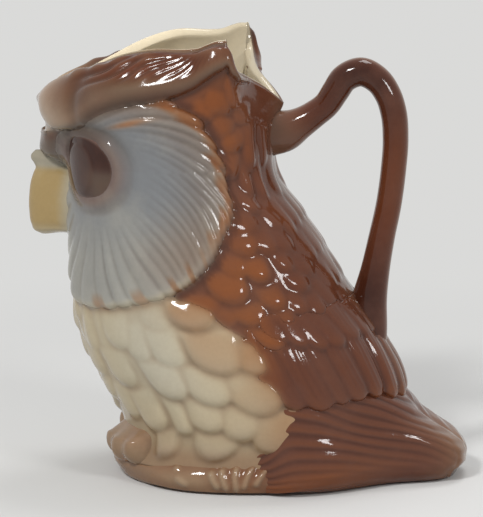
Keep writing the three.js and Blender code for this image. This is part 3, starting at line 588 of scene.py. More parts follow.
def glaze_material(name, mottle, mottle_share, mottle_size, ripple, gloss=0.09):
    """A glossy glaze: the painted colour under it, thicker milky pools and a faintly wavy skin."""
    material = bpy.data.materials.get(name)
    if material:
        return material
    material = bpy.data.materials.new(name)
    material.use_nodes = True
    tree = material.node_tree
    place = add_node(tree, "ShaderNodeTexCoord", "Object")
    painted = add_node(tree, "ShaderNodeAttribute", "Color", attribute_name="glaze")

    def noise(scale, detail, **more):
        inputs = {"Vector": place, "Scale": scale, "Detail": detail, **more}
        return add_node(tree, "ShaderNodeTexNoise", "Fac", inputs)

    def ranged(value, low, high, start, end):
        inputs = {"Value": value, "From Min": low, "From Max": high, "To Min": start, "To Max": end}
        return add_node(tree, "ShaderNodeMapRange", "Result", inputs)

    pools = noise(1 / mottle_size, 4, Roughness=0.6)
    share = ranged(pools, 0.45, 0.75, 0, mottle_share)
    layers = {"Factor": share, "A": painted, "B": (*linear_light(mottle), 1)}
    blend = add_node(tree, "ShaderNodeMix", "Result", layers, data_type="RGBA")
    shade = ranged(noise(SPECKS_IN_A_METRE, 2), 0.3, 0.7, 0.98, 1.02)
    scaled = {0: blend, "Scale": shade}
    grained = add_node(tree, "ShaderNodeVectorMath", "Vector", scaled, operation="SCALE")
    waves = {"Strength": ripple, "Distance": WAVE_HEIGHT, "Height": noise(WAVES_IN_A_METRE, 3)}
    skin = add_node(tree, "ShaderNodeBump", "Normal", waves)
    polish = ranged(pools, 0, 1, gloss * 0.6, gloss * 1.5)
    shader = {"Base Color": grained, "Normal": skin, "Roughness": polish, "IOR": GLAZE_IOR}
    feed(tree, tree.nodes["Principled BSDF"], shader)
    return material


def brown_glaze(glazes):
    return glaze_material("Airbrushed brown glaze", glazes["milky"], 0.55, 0.016, 0.25)


def pale_glaze(glazes):
    return glaze_material("Ivory glaze", glazes["buff"], 0.22, 0.03, 0.18)


def tan_glaze(glazes):
    return glaze_material("Tan base glaze", glazes["orange"], 0.3, 0.018, 0.22)


# The vessel: the underside of its wall, the top of its floor, and how the inner wall turns into
# the floor. The rows of points are those up its outside, over its rim and down its inside.
VESSEL_BOTTOM = 3.25
VESSEL_FLOOR = 6.6
FLOOR_CURVE_HEIGHT = 3
FLOOR_CURVE_WIDTH = 2.6
OUTER_ROWS = 150
RIM_ROWS = 11
INNER_ROWS = 120
VESSEL_COLUMNS = 361
# How far up its edge the underside is rounded.
BOTTOM_ROUND = 0.8


def vessel_surface(form, sizes):
    """Points from the middle of the underside, over the rim, to the middle of the floor."""
    wall = sizes["wall"]
    turns = np.linspace(0, 1, RIM_ROWS + 2)[1:-1]
    # Height, distance out of the cast wall, rise over it and share of the way out from the middle.
    profile = [(VESSEL_BOTTOM, -wall, 0, 0), (VESSEL_BOTTOM, -wall, 0, 0.5)]
    profile += [(VESSEL_BOTTOM, -wall * 0.4, 0, 1)]
    heights = np.linspace(VESSEL_BOTTOM + BOTTOM_ROUND, form.top, OUTER_ROWS)
    profile += [(height, 0, 0, 1) for height in heights]
    glazed_from = len(profile) + 2
    for turn in turns:
        out = -wall * (1 - math.cos(math.pi * turn)) / 2
        profile.append((form.top, out, math.sin(math.pi * turn) * sizes["rim_round"], 1))
    low = VESSEL_FLOOR + FLOOR_CURVE_HEIGHT
    profile += [(height, -wall, 0, 1) for height in np.linspace(form.top, low, INNER_ROWS)]
    for turn in (0.3, 0.6, 0.85, 1):
        height = VESSEL_FLOOR + FLOOR_CURVE_HEIGHT * (1 - turn) ** 2
        profile.append((height, -wall - FLOOR_CURVE_WIDTH * turn, 0, 1))
    profile += [(VESSEL_FLOOR, -wall - FLOOR_CURVE_WIDTH, 0, share) for share in (0.7, 0.35, 0)]
    angles = np.linspace(-180, 180, VESSEL_COLUMNS)
    table = np.array(profile)
    angle, height = np.meshgrid(angles, table[:, 0])
    out = np.repeat(table[:, 1:2], len(angles), 1)
    points = form.cast(angle, height, out)
    points[..., 2] += table[:, 2:3]
    flat = table[:, 3] < 1
    points[flat, :, 2] = table[flat, 0:1]
    points[2, :, 2] = VESSEL_BOTTOM
    points[-4, :, 2] = VESSEL_FLOOR
    centre = np.array([(form.front(VESSEL_BOTTOM) + form.back(VESSEL_BOTTOM)) / 2, 0])
    share = table[:, 3][:, None, None]
    points[..., :2] = centre + (points[..., :2] - centre) * share
    inside = np.zeros_like(angle)
    inside[glazed_from:] = 1
    return points, angle, height, inside


def make_vessel(form, sizes, glazes):
    points, angle, height, inside = vessel_surface(form, sizes)
    folded = np.abs(angle)
    coat = Coat(glazes, "brown", angle.shape)
    coat.spray("cream", 1 - smooth_step(75, 110, folded))
    coat.spray("buff", 0.4 * smooth_step(0.9, 0.97, height / form.top))
    # Painted light and shade inside: the inner wall is painted lighter than its ivory, most at the
    # front, and darker towards the floor.
    shade = 1 - 0.25 * smooth_step(60, 5, height)
    shade *= 1.3 - 0.28 * smooth_step(60, 150, folded)
    coat.spray(glazes["ivory"] * shade[..., None], inside)
    vessel = grid_object("vessel_body", points, coat.colours, closed=True)
    return finish(vessel, pale_glaze(glazes), "vessel")


class OWL_OT_vessel(bpy.types.Operator):
    """Model the hollow cast vessel with its wavy rim"""

    bl_idname = "owl.vessel"
    bl_label = "Vessel"

    def execute(self, context):
        make_vessel(*form_and_glazes(context))
        return {"FINISHED"}


# Owners of the relief
BREAST, MANTLE, WING, DISC, BROW, EYE = range(6)
# How a feather is cut: how far it curves aside, how far its barbs and its tilt rise, how wide its
# rounded edge is and how much its middle swells.
PLAIN_CUT = {"curve": 0, "barbs": 0, "tilt": 0, "edge": 0.8, "plump": 0.32}
BREAST_CUT = {"owner": BREAST, "edge": 2.2, "plump": 0.55}
MANTLE_CUT = {"owner": MANTLE, "edge": 2.2, "plump": 0.5}
WING_CUT = {"owner": WING, "tint": 0.2, "curve": -0.2, "barbs": 0.12, "tilt": -0.45, "edge": 1}
COVERT_CUT = {"owner": WING, "tint": 0.5, "barbs": 0.05, "tilt": -0.25, "edge": 1.4}
TOE_CUT = {"edge": 2.4, "plump": 0.5}
BARBS_ACROSS = 2.6
# Feathers that reach over the middle in front or behind are drawn from both sides.
FRONT_FEATHERS = 20
BACK_FEATHERS = 165

# Breast feathers: angle and height of the tip, half width, length, lean to the back, lift, brown.
BREAST_FEATHERS = [
    (86.5, 46, 6.8, 8.5, 0, 2.1, 0.7),
    (61, 36, 4.4, 12, 0, 0.7, 0),
    (73, 35.2, 5.2, 12, 5, 1, 0),
    (91.5, 34, 7.4, 13, 5, 2.2, 0.4),
    (103, 34, 4.3, 10, 0, 1.5, 0.6),
    (69, 26, 6.2, 13, 10, 1.7, 0),
    (83, 24.8, 6.6, 12, 0, 1.9, 0.05),
    (100.5, 22.4, 7.4, 13, 5, 1.9, 0.3),
    (53.5, 15.6, 5, 12, 12, 1.6, 0),
    (67, 15.6, 3.2, 12, 6, 1.2, 0),
    (78, 16.8, 5.4, 12, 0, 1.7, 0.05),
    (91, 14.8, 5.6, 11, 0, 1.8, 0.1),
    (106.5, 11.4, 6.8, 13, 6, 2, 0.25),
    (57, 8.8, 4, 9, 0, 1.8, 0.05),
    (80.5, 9.2, 6.3, 9, 0, 1.8, 0),
    (52, 38.8, 5, 12, 0, 0.8, 0),
    (46, 27.5, 5.4, 12, 5, 1, 0),
    (39, 17.6, 5, 11, 8, 1.1, 0),
    (72, 45, 5, 11, 0, 0.4, 0.05),
    (95, 28, 4.4, 9, 0, 1.2, 0.15),
    (30, 36, 5.4, 11, 0, 0.6, 0),
    (22, 44, 5, 11, 0, 0.6, 0),
    (10, 39.5, 5, 11, 0, 1, 0),
    (26, 28.5, 5.2, 11, 0, 1.1, 0),
    (9, 31, 5.2, 11, 0, 1.2, 0),
    (24, 21.5, 5.2, 10, 0, 1.2, 0),
    (8, 23, 5.2, 10, 0, 1.2, 0),
    (16, 52, 4.6, 12, 0, 0.6, 0),
    (4, 48, 4.6, 12, 0, 0.8, 0),
    (5, 57, 4.2, 11, 0, 0.6, 0),
    (13, 17, 4.6, 8, 0, 1.1, 0),
]
BREAST_TOP = 64
BREAST_GROUND = 1
# Nape and shoulder feathers: as above, with the rounded tip's length in half widths before the
# brown.
MANTLE_FEATHERS = [
    (105, 53.2, 6, 10, 0, 1.9, 1, 0.8),
    (93, 50.4, 5.6, 6, 0, 1.2, 1, 0.9),
    (120, 58.8, 4.2, 8, 0, 1.4, 1, 0.9),
    (119, 66, 5.6, 9, 0, 1.3, 1, 0.8),
    (123, 51.6, 4, 7, 10, 1.3, 1, 0.6),
    (109, 47.6, 5.6, 7, 0, 1.3, 1, 0.7),
    (115, 40.8, 4.8, 8, 8, 1.6, 1, 1),
    (100, 47.6, 3.6, 7, 0, 1, 1, 0.6),
    (136, 61, 3.2, 7, 10, 1, 1, 0.4),
    (124, 46.8, 3.8, 6, 10, 1.2, 1, 0.5),
    (138.5, 55.6, 4, 7, 10, 1, 1, 0.1),
    (133, 50, 3.6, 7, 12, 0.9, 1, 0.3),
    (142, 49, 3.6, 7, 12, 0.9, 1, 0.2),
    (121, 71, 5.6, 9, 0, 1.2, 1, 0.5),
    (111, 60, 4.4, 8, 0, 1.2, 1, 0.8),
    (128, 72, 4, 8, 12, 0.9, 1, 0.3),
    (132, 66, 4.4, 8, 10, 1, 1, 0.3),
    (142, 66, 4, 8, 10, 0.8, 1, 0.1),
    (147, 59.5, 4.2, 8, 10, 0.8, 1, 0.1),
    (124, 78, 4.4, 8, 0, 1.2, 1, 0.4),
    (127.5, 86, 4.4, 8, -8, 1.3, 1, 0.5),
    (131, 93, 3.8, 7, -6, 1.2, 1, 0.9),
    (124.5, 97, 3.8, 7, -12, 1.2, 1, 0.5),
    (120, 103, 4.2, 7, -10, 1.3, 1, 0.4),
    (113, 101, 4, 7, -14, 1.2, 1, 0.5),
    (130, 107, 3.6, 6, 0, 1, 1, 0.3),
    (138, 101, 3.4, 7, 0, 1, 1, 0.4),
    (137, 94, 3, 7, 0, 1, 1, 0.2),
    (144, 87, 2.6, 18, 4, 1.6, 2, 0.4),
    (149, 80, 2.6, 18, 3, 1.6, 2, 0.5),
    (139.5, 81, 2.4, 12, 0, 1.3, 2, 0.3),
    (135, 77, 3.2, 8, 4, 1, 1, 0.4),
    (152, 70, 3.4, 13, 4, 1.2, 1.8, 1),
    (145, 72, 3.4, 8, 6, 0.9, 1, 0.3),
    (158, 88, 2.8, 14, 2, 1.4, 2, 0.4),
    (166, 80, 3.2, 13, 0, 1.2, 1.6, 0.3),
    (174, 90, 3, 12, 0, 1.2, 1.6, 0.3),
    (162, 72, 3.6, 11, 0, 1, 1.2, 0.4),
    (175, 73, 3.6, 11, 0, 1, 1.2, 0.3),
    (156, 63, 3.8, 10, 5, 0.9, 1, 0.3),
    (168, 64, 3.8, 10, 2, 0.9, 1, 0.2),
    (178, 65, 3.8, 10, 0, 0.9, 1, 0.2),
    (160, 55, 3.8, 9, 6, 0.9, 1, 0.2),
    (172, 56, 3.8, 9, 2, 0.9, 1, 0.2),
    (153, 51, 3.6, 9, 8, 0.9, 1, 0.2),
    (166, 48, 3.8, 9, 4, 0.9, 1, 0.2),
    (177, 48, 3.8, 9, 0, 0.9, 1, 0.1),
]
# Long wing feathers: angle and height of the tip, half width, length, lean, lift.
WING_FEATHERS = [
    (109, 28, 3.6, 17, 18, 1.2),
    (116, 24.2, 4.4, 24, 20, 1.4),
    (127, 23.6, 5.4, 26, 22, 1.6),
    (136, 24.6, 3.4, 25, 22, 1.5),
    (145, 24.8, 4.4, 26, 20, 2),
    (156, 24.4, 4.4, 26, 16, 2.7),
    (166, 22.6, 4.2, 24, 10, 4.6),
    (175, 21.6, 4, 22, 4, 5.7),
    (185, 21.6, 4, 22, -4, 5.7),
]
# Short feathers over their roots.
COVERTS = [
    (117.5, 42.5, 3.6, 9, 8, 1.5),
    (125.5, 41.2, 3.8, 11, 10, 1.8),
    (133.5, 40.2, 3.8, 11, 12, 1.8),
    (142, 40.2, 4, 11, 14, 1.8),
    (153, 41.2, 4.6, 12, 12, 1.8),
    (164, 41.2, 4.2, 12, 8, 1.8),
    (173, 41.2, 4, 12, 4, 1.8),
    (182, 41, 4, 12, 0, 1.8),
]

# Face discs: direction seen from the eye and reach of the disc's radius.
DISC_OUTLINE_SHARES = [
    (0, 1),
    (15, 0.93),
    (30, 0.85),
    (42, 0.765),
    (60, 0.59),
    (90, 0.42),
    (120, 0.35),
    (150, 0.3),
    (180, 0.35),
    (210, 0.475),
    (235, 0.76),
    (253, 0.96),
    (268, 0.94),
    (280, 0.915),
    (300, 0.91),
    (318, 0.905),
    (333, 0.92),
    (348, 1),
    (360, 1),
]
DISC_ANGLE = 46
EYE_ANGLE = 44
EYE_HEIGHT_SHARE = 0.7115
EYE_WIDTH_SHARES = (1.17, 0.93)
DISC_TWIST = 44
DISC_RIBS = 44
# Degrees that the ribs over the eye's outer corner take up beyond an even share.
BROAD_RIBS = 33
# The disc's ground, how much its fringe stands above it, and the depth of its ribs and sockets.
DISC_GROUND = 1.5
FRINGE_LIFT = 1.15
RIB_DEPTH = 1.05
SOCKET_DEPTH = 1.7
# How far the disc keeps from the eye's rim, and how low and wide its rounded edge is.
SOCKET_GAP = 0.3
DISC_EDGE = 0.6
DISC_EDGE_WIDTH = 1.6
# The smooth bib under the beak: its edge round the body, its foot, its top and its depth.
BIB_SIDE = 30
BIB_FOOT = 60
BIB_TOP = 96
BIB_DEPTH = 1.4

# Lower edge of a brow: angle and share of the height.
BROW_FOOT_SHARES = [
    (-4, 0.7),
    (5, 0.7),
    (12, 0.708),
    (18, 0.74),
    (24, 0.772),
    (32, 0.79),
    (42, 0.798),
    (50, 0.812),
    (57, 0.833),
    (64, 0.847),
    (78, 0.862),
    (90, 0.869),
    (101, 0.884),
    (108, 0.9),
    (115, 0.919),
    (124, 0.942),
    (133, 0.957),
    (141, 0.968),
    (146, 0.972),
]
# The angle at which the brow ends behind the ear tuft.
BROW_END = 145
# How far the roll stands out: angle and millimetres.
BROW_ROLL = [
    (-4, 0.9),
    (4, 1),
    (12, 1),
    (22, 1.5),
    (34, 2.3),
    (48, 2.2),
    (60, 2.6),
    (75, 2.6),
    (95, 2.5),
    (115, 2.2),
    (124, 1.7),
    (134, 1.1),
    (146, 0.5),
]
# Lumps on the crest: angle, share of the way up, radius and rise.
BROW_LUMPS = [
    (56, 0.84, 2.4, 0.9),
    (66, 0.86, 2.2, 0.8),
    (76, 0.82, 2.6, 0.6),
    (88, 0.84, 2.4, 0.7),
    (28, 0.5, 5, 0.7),
    (66, 0.3, 4, 0.6),
    (80, 0.5, 3, -0.5),
    (92, 0.55, 3, -0.5),
    (116, 0.72, 5, 1.5),
]
# How far the brows' front stands out over the beak: share of the height and millimetres.
BROW_PROW = [
    (0.7, 3.6),
    (0.712, 6.6),
    (0.724, 8.1),
    (0.735, 8.2),
    (0.749, 7.7),
    (0.763, 7),
    (0.776, 6.5),
    (0.79, 5.9),
    (0.813, 4.9),
    (0.836, 3.9),
    (0.879, 1.8),
    (0.924, 0.2),
    (0.96, 0),
]
# The strands of the brow's crest run together over the ear tuft: angle and height in millimetres,
# and how many degrees apart they are.
STRANDS_MEET_AT = (122, 129)
STRAND_SPACING = 5.5
STRAND_DEPTH = 0.95
# Millimetres of the crest for one degree round the body.
CREST_DEGREE = 0.62
# The groove under the brow's front lobe: an angle and its height there, and its drop for each
# degree round the body.
LOBE_GROOVE_AT = (30, 97.6)
LOBE_GROOVE_DROP = 0.77
# The groove between the two front lobes: an angle and its height there, and the degrees that it
# goes round for each millimetre up.
PARTING_AT = (46, 101)
PARTING_SLOPE = 0.75
# How deep both grooves are.
GROOVE_DEPTH = 1.2

# Shares of red, green and blue that turn the glaze: pinker over the brow's front lobes, duller on its
# roll, redder on its crest, painted darker with shade in the fold over the beak, and warmer in the
# streak over the eye and on the shoulder.
FRONT_LOBE_TONE = np.array([1.3, 1.44, 1.52])
ROLL_TONE = np.array([0.83, 0.77, 0.72])
ROLL_GROUND_TONE = np.array([0.84, 0.77, 0.72])
CREST_TONE = np.array([0.8, 0.67, 0.56])
FOLD_SHADE_TONE = np.array([0.62, 0.54, 0.46])
STREAK_TONE = np.array([1.2, 1, 0.8])
SHOULDER_TONE = np.array([1.02, 0.82, 0.7])
# The warm streak over the eye: how far aside and up from the eye's middle, and its half length.
STREAK_PLACE = (16, 13.3)
STREAK_REACH = 4.5


class Head:
    """Places on the face as seen from the eye, and the flow of the disc's ribs round it."""

    def __init__(self, form, sizes, angle, height):
        self.height = EYE_HEIGHT_SHARE * form.top
        self.degree = form.half_width(self.height) * math.pi / 180
        across = (angle - DISC_ANGLE) * self.degree
        up = height - self.height
        self.reach = np.hypot(across, up)
        aside = (angle - EYE_ANGLE) * self.degree
        self.from_eye = np.hypot(aside / EYE_WIDTH_SHARES[0], up / EYE_WIDTH_SHARES[1])
        self.direction = np.degrees(np.arctan2(up, across)) % 360
        self.socket = sizes["eye_radius"] + SOCKET_GAP
        outline = smooth_curve(DISC_OUTLINE_SHARES, 1, sizes["disc_radius"])(self.direction)
        self.along = (self.from_eye - self.socket) / (outline - self.socket)
        start = self.direction
        share = np.clip(self.along, 0, 1) ** 1.15
        for _ in range(8):
            start = self.direction + DISC_TWIST * (1 + np.sin(np.radians(start))) * share
        wavy = start + 1.3 * np.sin(np.radians(start * 9)) * share
        wavy = wavy + 1.2 * np.sin(self.reach / 5 + np.radians(start * 3))
        broad = BROAD_RIBS * (np.tanh((wavy - 120) / 60) - np.tanh((wavy - 480) / 60) - 1)
        self.phase = (wavy - broad) / 360 * DISC_RIBS
        self.saw = self.phase % 1
        scallop = 1.5 - 0.9 * smooth_step(235, 260, self.direction)
        scallop = scallop * (np.sqrt(np.abs(np.sin(math.pi * self.saw))) - 0.6)
        self.inward = outline + scallop - self.reach


def draw_breast(relief):
    angle, height = relief.column, relief.row
    side_edge = 82 + 14 * smooth_step(55, 50, height) + 14 * smooth_step(50, 40, height)
    ground = BREAST_GROUND + 0 * relief.depth
    relief.raise_to(ground, (angle < side_edge) & (height < BREAST_TOP), BREAST)
    for place, level, half_width, length, lean, lift, tint in BREAST_FEATHERS:
        for side in (LEFT, RIGHT) if place < FRONT_FEATHERS else (LEFT,):
            size = (half_width, length, side * lean, lift * 1.4, 0.9 + lift * 0.2, 0.9)
            relief.feather((side * place, level), *size, tint=tint, **BREAST_CUT)
    folds = smooth_step(52, 30, angle) * smooth_step(30, 44, height) * (relief.owner == BREAST)
    relief.depth += 0.25 * folds * np.cos(angle * 0.55 + 0.03 * height)


def draw_mantle(relief):
    for angle, height, half_width, length, lean, lift, tip, tint in MANTLE_FEATHERS:
        places = [(angle, lean)]
        if angle > BACK_FEATHERS:
            places.append((360 - angle, -lean))
        flatter = 1 - 0.5 * smooth_step(140, 155, angle)
        for place, slope in places:
            size = (half_width, length, slope, lift * 1.3 * flatter, 0.8 + lift * 0.2, tip)
            relief.feather((place, height), *size, tint=tint, **MANTLE_CUT)


def draw_wing(relief):
    for feathers, rise, base, cut in ((WING_FEATHERS, 1, 1, WING_CUT), (COVERTS, 0.8, 1.4, COVERT_CUT)):
        for angle, height, half_width, length, lean, lift in feathers:
            relief.feather((angle, height), half_width, length, lean, lift * rise, base, **cut)


def draw_disc(relief, head):
    bib = (relief.column < BIB_SIDE) & (relief.row > BIB_FOOT) & (relief.row < BIB_TOP)
    relief.raise_to(BIB_DEPTH + 0 * relief.depth, bib, DISC)
    ridge = np.sin(math.pi * head.saw) ** 0.6 * (0.75 + 0.25 * np.sin(head.phase * 2.1 + 1))
    side = np.cos(np.radians(head.direction - 25))
    grown = smooth_step(0.2, 0.7, head.along) * (0.75 + 0.45 * smooth_step(0.2, 1, side))
    ring = 0.5 + 0.35 * np.cos(np.radians(head.direction))
    ring *= bump_at(head.from_eye, head.socket + 1.5, 1.6)
    ring -= 0.5 * bump_at(head.from_eye, head.socket + 4.6, 1.4)
    upper = smooth_step(30, 60, head.direction) * smooth_step(150, 120, head.direction)
    depth = DISC_GROUND + FRINGE_LIFT * smooth_step(0.1, 0.8, head.along)
    depth = depth + RIB_DEPTH * (ridge - 0.4) * grown + ring - 0.7 * upper
    edge = np.clip(head.inward / DISC_EDGE_WIDTH, 0, 1)
    depth = DISC_EDGE + (depth - DISC_EDGE) * np.sqrt(1 - (1 - edge) ** 2)
    relief.give((head.inward > 0) & (head.from_eye > head.socket), depth, DISC)
    relief.give(head.from_eye <= head.socket, SOCKET_DEPTH, EYE)


def brow_foot(form, angle):
    return smooth_curve(BROW_FOOT_SHARES, 1, form.top)(angle)


def brow_height(form, relief):
    """The share of the way up from a brow's foot to the rim."""
    foot = brow_foot(form, relief.column)
    return (relief.row - foot) / (form.top - foot)


def lobe_line(angle):
    """The height of the groove that parts the brow's front lobe from the fold over the beak."""
    return LOBE_GROOVE_AT[1] + LOBE_GROOVE_DROP * (LOBE_GROOVE_AT[0] - angle)


def draw_brow(form, relief):
    up = brow_height(form, relief)
    angle, height = relief.column, relief.row
    above = up * (form.top - brow_foot(form, angle))
    rounding = 2.2 + 2.4 * smooth_step(12, 30, angle) - 1.8 * smooth_step(116, 130, angle)
    roll = smooth_curve(BROW_ROLL, 1)(angle)
    rise = np.sqrt(np.clip(1 - (1 - np.clip(above / rounding, 0, 1)) ** 2, 0, 1))
    fall = 1 - (0.45 + 0.5 * smooth_step(45, 75, angle)) * smooth_step(0.2, 0.85, up)
    depth = 1.2 + roll * rise * fall
    reach = 15 + 22 * smooth_step(0.7, 0.82, height / form.top)
    swell = smooth_curve(BROW_PROW, 1, 1, form.top)(height) * np.exp(-((angle / reach) ** 2))
    depth += swell * rise
    beside = (up <= 0) & (relief.owner == DISC)
    relief.depth += np.where(beside, 0.8 * swell * smooth_step(84, 91, height), 0)
    parting = PARTING_AT[0] + PARTING_SLOPE * (height - PARTING_AT[1])
    between_lobes = bump_at(angle, parting, 4.6) * smooth_step(0.95, 0.3, up)
    under_lobe = bump_at(height, lobe_line(angle), 2.4) * smooth_step(34, 26, angle)
    across = (STRANDS_MEET_AT[0] - angle) * CREST_DEGREE
    below = STRANDS_MEET_AT[1] - height
    fan = np.degrees(np.arctan2(below, across)) + 1.4 * np.sin(np.hypot(across, below) / 3)
    strands = np.abs(np.sin(math.pi * fan / STRAND_SPACING)) - 0.6
    depth -= GROOVE_DEPTH * between_lobes
    depth += STRAND_DEPTH * strands * smooth_step(0.3, 0.55, up) * smooth_step(52, 72, angle)
    depth -= GROOVE_DEPTH * under_lobe * smooth_step(4, 12, angle)
    depth *= 1 - 0.4 * smooth_step(0.8, 1, up) * smooth_step(40, 70, angle)
    relief.give((up > 0) & (angle < BROW_END), depth, BROW)
    for place, share, radius, lift in BROW_LUMPS:
        low = float(brow_foot(form, np.asarray(float(place))))
        relief.lump((place, low + (form.top - low) * share), radius, lift)


def breast_glaze(glazes, relief, warm):
    """Cream, whiter at its side, tan towards the base and brown on the feathers at its back."""
    angle, height = relief.column, relief.row
    coat = Coat(glazes, "cream", angle.shape)
    coat.spray("white", 0.7 * bump_at(angle, 66, 18) * smooth_step(20, 34, height))
    coat.spray("buff", 0.8 * smooth_step(24, 9, height))
    coat.spray("tan", 0.6 * smooth_step(14, 9.5, height))
    coat.spray("orange", 0.3 * smooth_step(96, 110, angle))
    return coat.spray("orange", 0.75 * warm).colours


def mantle_glaze(glazes, relief, warm, inward):
    """Brown with drifts of milky glaze, orange on the neck and on the feathers' tips, and painted shadow
    under the disc's edge.
    """
    angle, height = relief.column, relief.row
    drift = np.sin(angle / 9 + 1.3 * np.sin(height / 13)) * np.cos(height / 8 - angle / 31)
    drift = 0.5 + 0.5 * drift
    neck = Coat(glazes, "orange", angle.shape).spray("milky", drift, 1.15).colours
    coat = Coat(glazes, "brown", angle.shape)
    coat.spray("milky", 0.25 + 0.45 * drift)
    coat.spray(neck, 0.75 * smooth_step(78, 96, height) * smooth_step(150, 130, angle))
    shoulder = smooth_step(130, 112, angle) * smooth_step(78, 62, height)
    coat.spray("taupe", 0.6 * shoulder, SHOULDER_TONE)
    coat.spray("orange", warm * (0.2 + 0.65 * smooth_step(150, 118, angle)))
    # Painted shadow: the disc's fringe shades the feathers just outside its edge.
    coat.spray("dark", 0.6 * smooth_step(-2.6, -0.3, inward))
    return coat.spray("taupe", 0.45 * smooth_step(158, 178, angle)).colours


def wing_glaze(glazes, relief):
    """Brown under milky glaze, orange along the front edge and taupe at the back."""
    angle, height = relief.column, relief.row
    coat = Coat(glazes, "brown", angle.shape).spray("milky", 0.4)
    coat.spray("orange", 0.6 * smooth_step(114, 104, angle - 0.4 * (height - 30)))
    return coat.spray("taupe", 0.45 * smooth_step(158, 178, angle)).colours


def disc_glaze(glazes, relief, head):
    """Grey, whiter below, taupe behind, dark round the eye with painted shade over it, and orange along
    the fringe.
    """
    angle, height = relief.column, relief.row
    away = np.radians(head.direction)
    back = np.cos(np.radians(head.direction - 18))
    coat = Coat(glazes, "grey", angle.shape)
    coat.spray("white", 0.45 * smooth_step(-4, -28, height - head.height))
    coat.spray("white", 0.5 * smooth_step(28, 14, angle) * smooth_step(90, 80, height))
    coat.spray("taupe", 0.7 * smooth_step(-0.1, 0.6, back) * smooth_step(0.35, 0.9, head.along))
    coat.spray("milky", 0.55 * bump_at(head.from_eye, head.socket + 0.8, 2.6), 0.95)
    # Painted shade: the brow's shade falls on the disc above the eye.
    over = bump_at(head.direction, 100, 60) * bump_at(head.from_eye, head.socket + 3, 4.5)
    coat.spray("taupe_shade", 0.85 * over)
    aside = head.from_eye * np.cos(away) - STREAK_PLACE[0]
    upwards = head.from_eye * np.sin(away) - STREAK_PLACE[1]
    streak = bump_at(aside, 0, STREAK_REACH) * bump_at(upwards - 0.15 * aside, 0, 1)
    coat.spray("tan", 0.8 * streak, STREAK_TONE)
    strand = 0.5 + 0.5 * np.sin(head.phase * 2.4 + 1)
    fringe = smooth_step(3, 0.8, head.inward - 1.6 * strand) * smooth_step(0.5, 0.8, back)
    coat.spray("orange", 0.85 * fringe)
    under = (head.direction > 235) & (back < 0.4)
    coat.spray("cream", 0.7 * smooth_step(2.6, 0.2, head.inward) * under)
    tips = smooth_step(5, 1.5, head.inward) * smooth_step(0.75, 0.95, strand)
    tips *= smooth_step(0.7, 0.4, back) * (head.direction > 262)
    return coat.spray("orange", 0.55 * tips).colours


def brow_glaze(glazes, form, relief):
    """Taupe on the lobes and the roll, ruddy strands on the crest, grey in the fold in front, with
    painted shade in the grooves, under the roll and in the fold.
    """
    angle, height = relief.column, relief.row
    up = brow_height(form, relief)
    crest = smooth_step(0.35, 0.8, up + 0.3 * smooth_step(60, 110, angle))
    lobes = bump_at(angle, 24, 14) * smooth_step(0.1, 0.35, up)
    lobes += 0.5 * bump_at(angle, 62, 14) * smooth_step(0.35, 0.15, up)
    # Painted shade: the ruddy crest darkens in the hollows between its strands.
    strand = np.clip(relief.hollows(1.2) + 0.25, 0, 1)
    ruddy = Coat(glazes, "orange", angle.shape, 0.9).spray("milky", 0.45).spray("dark", 0.5 * strand)
    coat = Coat(glazes, "taupe", angle.shape, ROLL_GROUND_TONE)
    coat.spray("taupe", np.clip(lobes, 0, 1), 1.15)
    coat.spray(ruddy.colours, (0.2 + 0.75 * smooth_step(44, 80, angle)) * crest)
    coat.spray("taupe_shade", 0.7 * bump_at(height, lobe_line(angle), 3) * smooth_step(34, 26, angle))
    coat.spray("orange", 0.4 * bump_at(angle, 84, 14) * bump_at(up, 0.6, 0.17), 1.1)
    coat.spray("cream", 0.35 * bump_at(up, 0.32, 0.12) * bump_at(angle, 84, 16), 0.8)
    # Painted shade under the brow's roll: taupe shade at the front, browner towards the back.
    under = Coat(glazes, "taupe_shade", angle.shape).spray("brown", smooth_step(80, 112, angle))
    coat.spray(under.colours, 0.7 * smooth_step(0.22, 0.02, up) * smooth_step(22, 40, angle))
    behind = mix(ROLL_TONE, CREST_TONE, smooth_step(0.2, 0.55, up))
    coat.colours *= mix(FRONT_LOBE_TONE, behind, smooth_step(36, 62, angle))
    lobe = bump_at(angle, 18, 15) * smooth_step(114, 104, height) * smooth_step(95, 98, height)
    coat.spray("taupe", 0.75 * lobe, FRONT_LOBE_TONE)
    fold = smooth_step(100, 95, height) * smooth_step(40, 25, angle)
    # Painted shade: the fold over the beak is painted darker than the grey and taupe around it.
    coat.spray((glazes["grey"] + glazes["taupe"]) / 2 * FOLD_SHADE_TONE, 0.85 * fold)
    coat.spray("brown", 0.5 * fold * bump_at(height, 96, 1.6))
    coat.spray("grey", 0.7 * smooth_step(91, 88, height) * fold, 1.05)
    return coat.spray("ivory", 0.6 * smooth_step(form.top - 1, form.top, height)).colours


# The relief's grid: its first row over the table, how far it goes past the middle in front and
# behind, and the place whose scale gives the number of columns.
SKIN_FOOT = 6
SKIN_PAST_MIDDLE = 3
SKIN_SCALE_AT = (120, 60)
SKIN_GROUND = 0.9
# Widths in millimetres over which the relief is softened, as glaze softens it.
SOFT = 0.6
FINE = 0.36
FRONT_SOFT = 1.5
# The brows' crests, which stay finer, start at this height.
CREST_FOOT = 106
# At its edges a piece dives this far under its neighbours, and less far past the middle.
DIVE = 2.4
MIDDLE_DIVE = 1.2


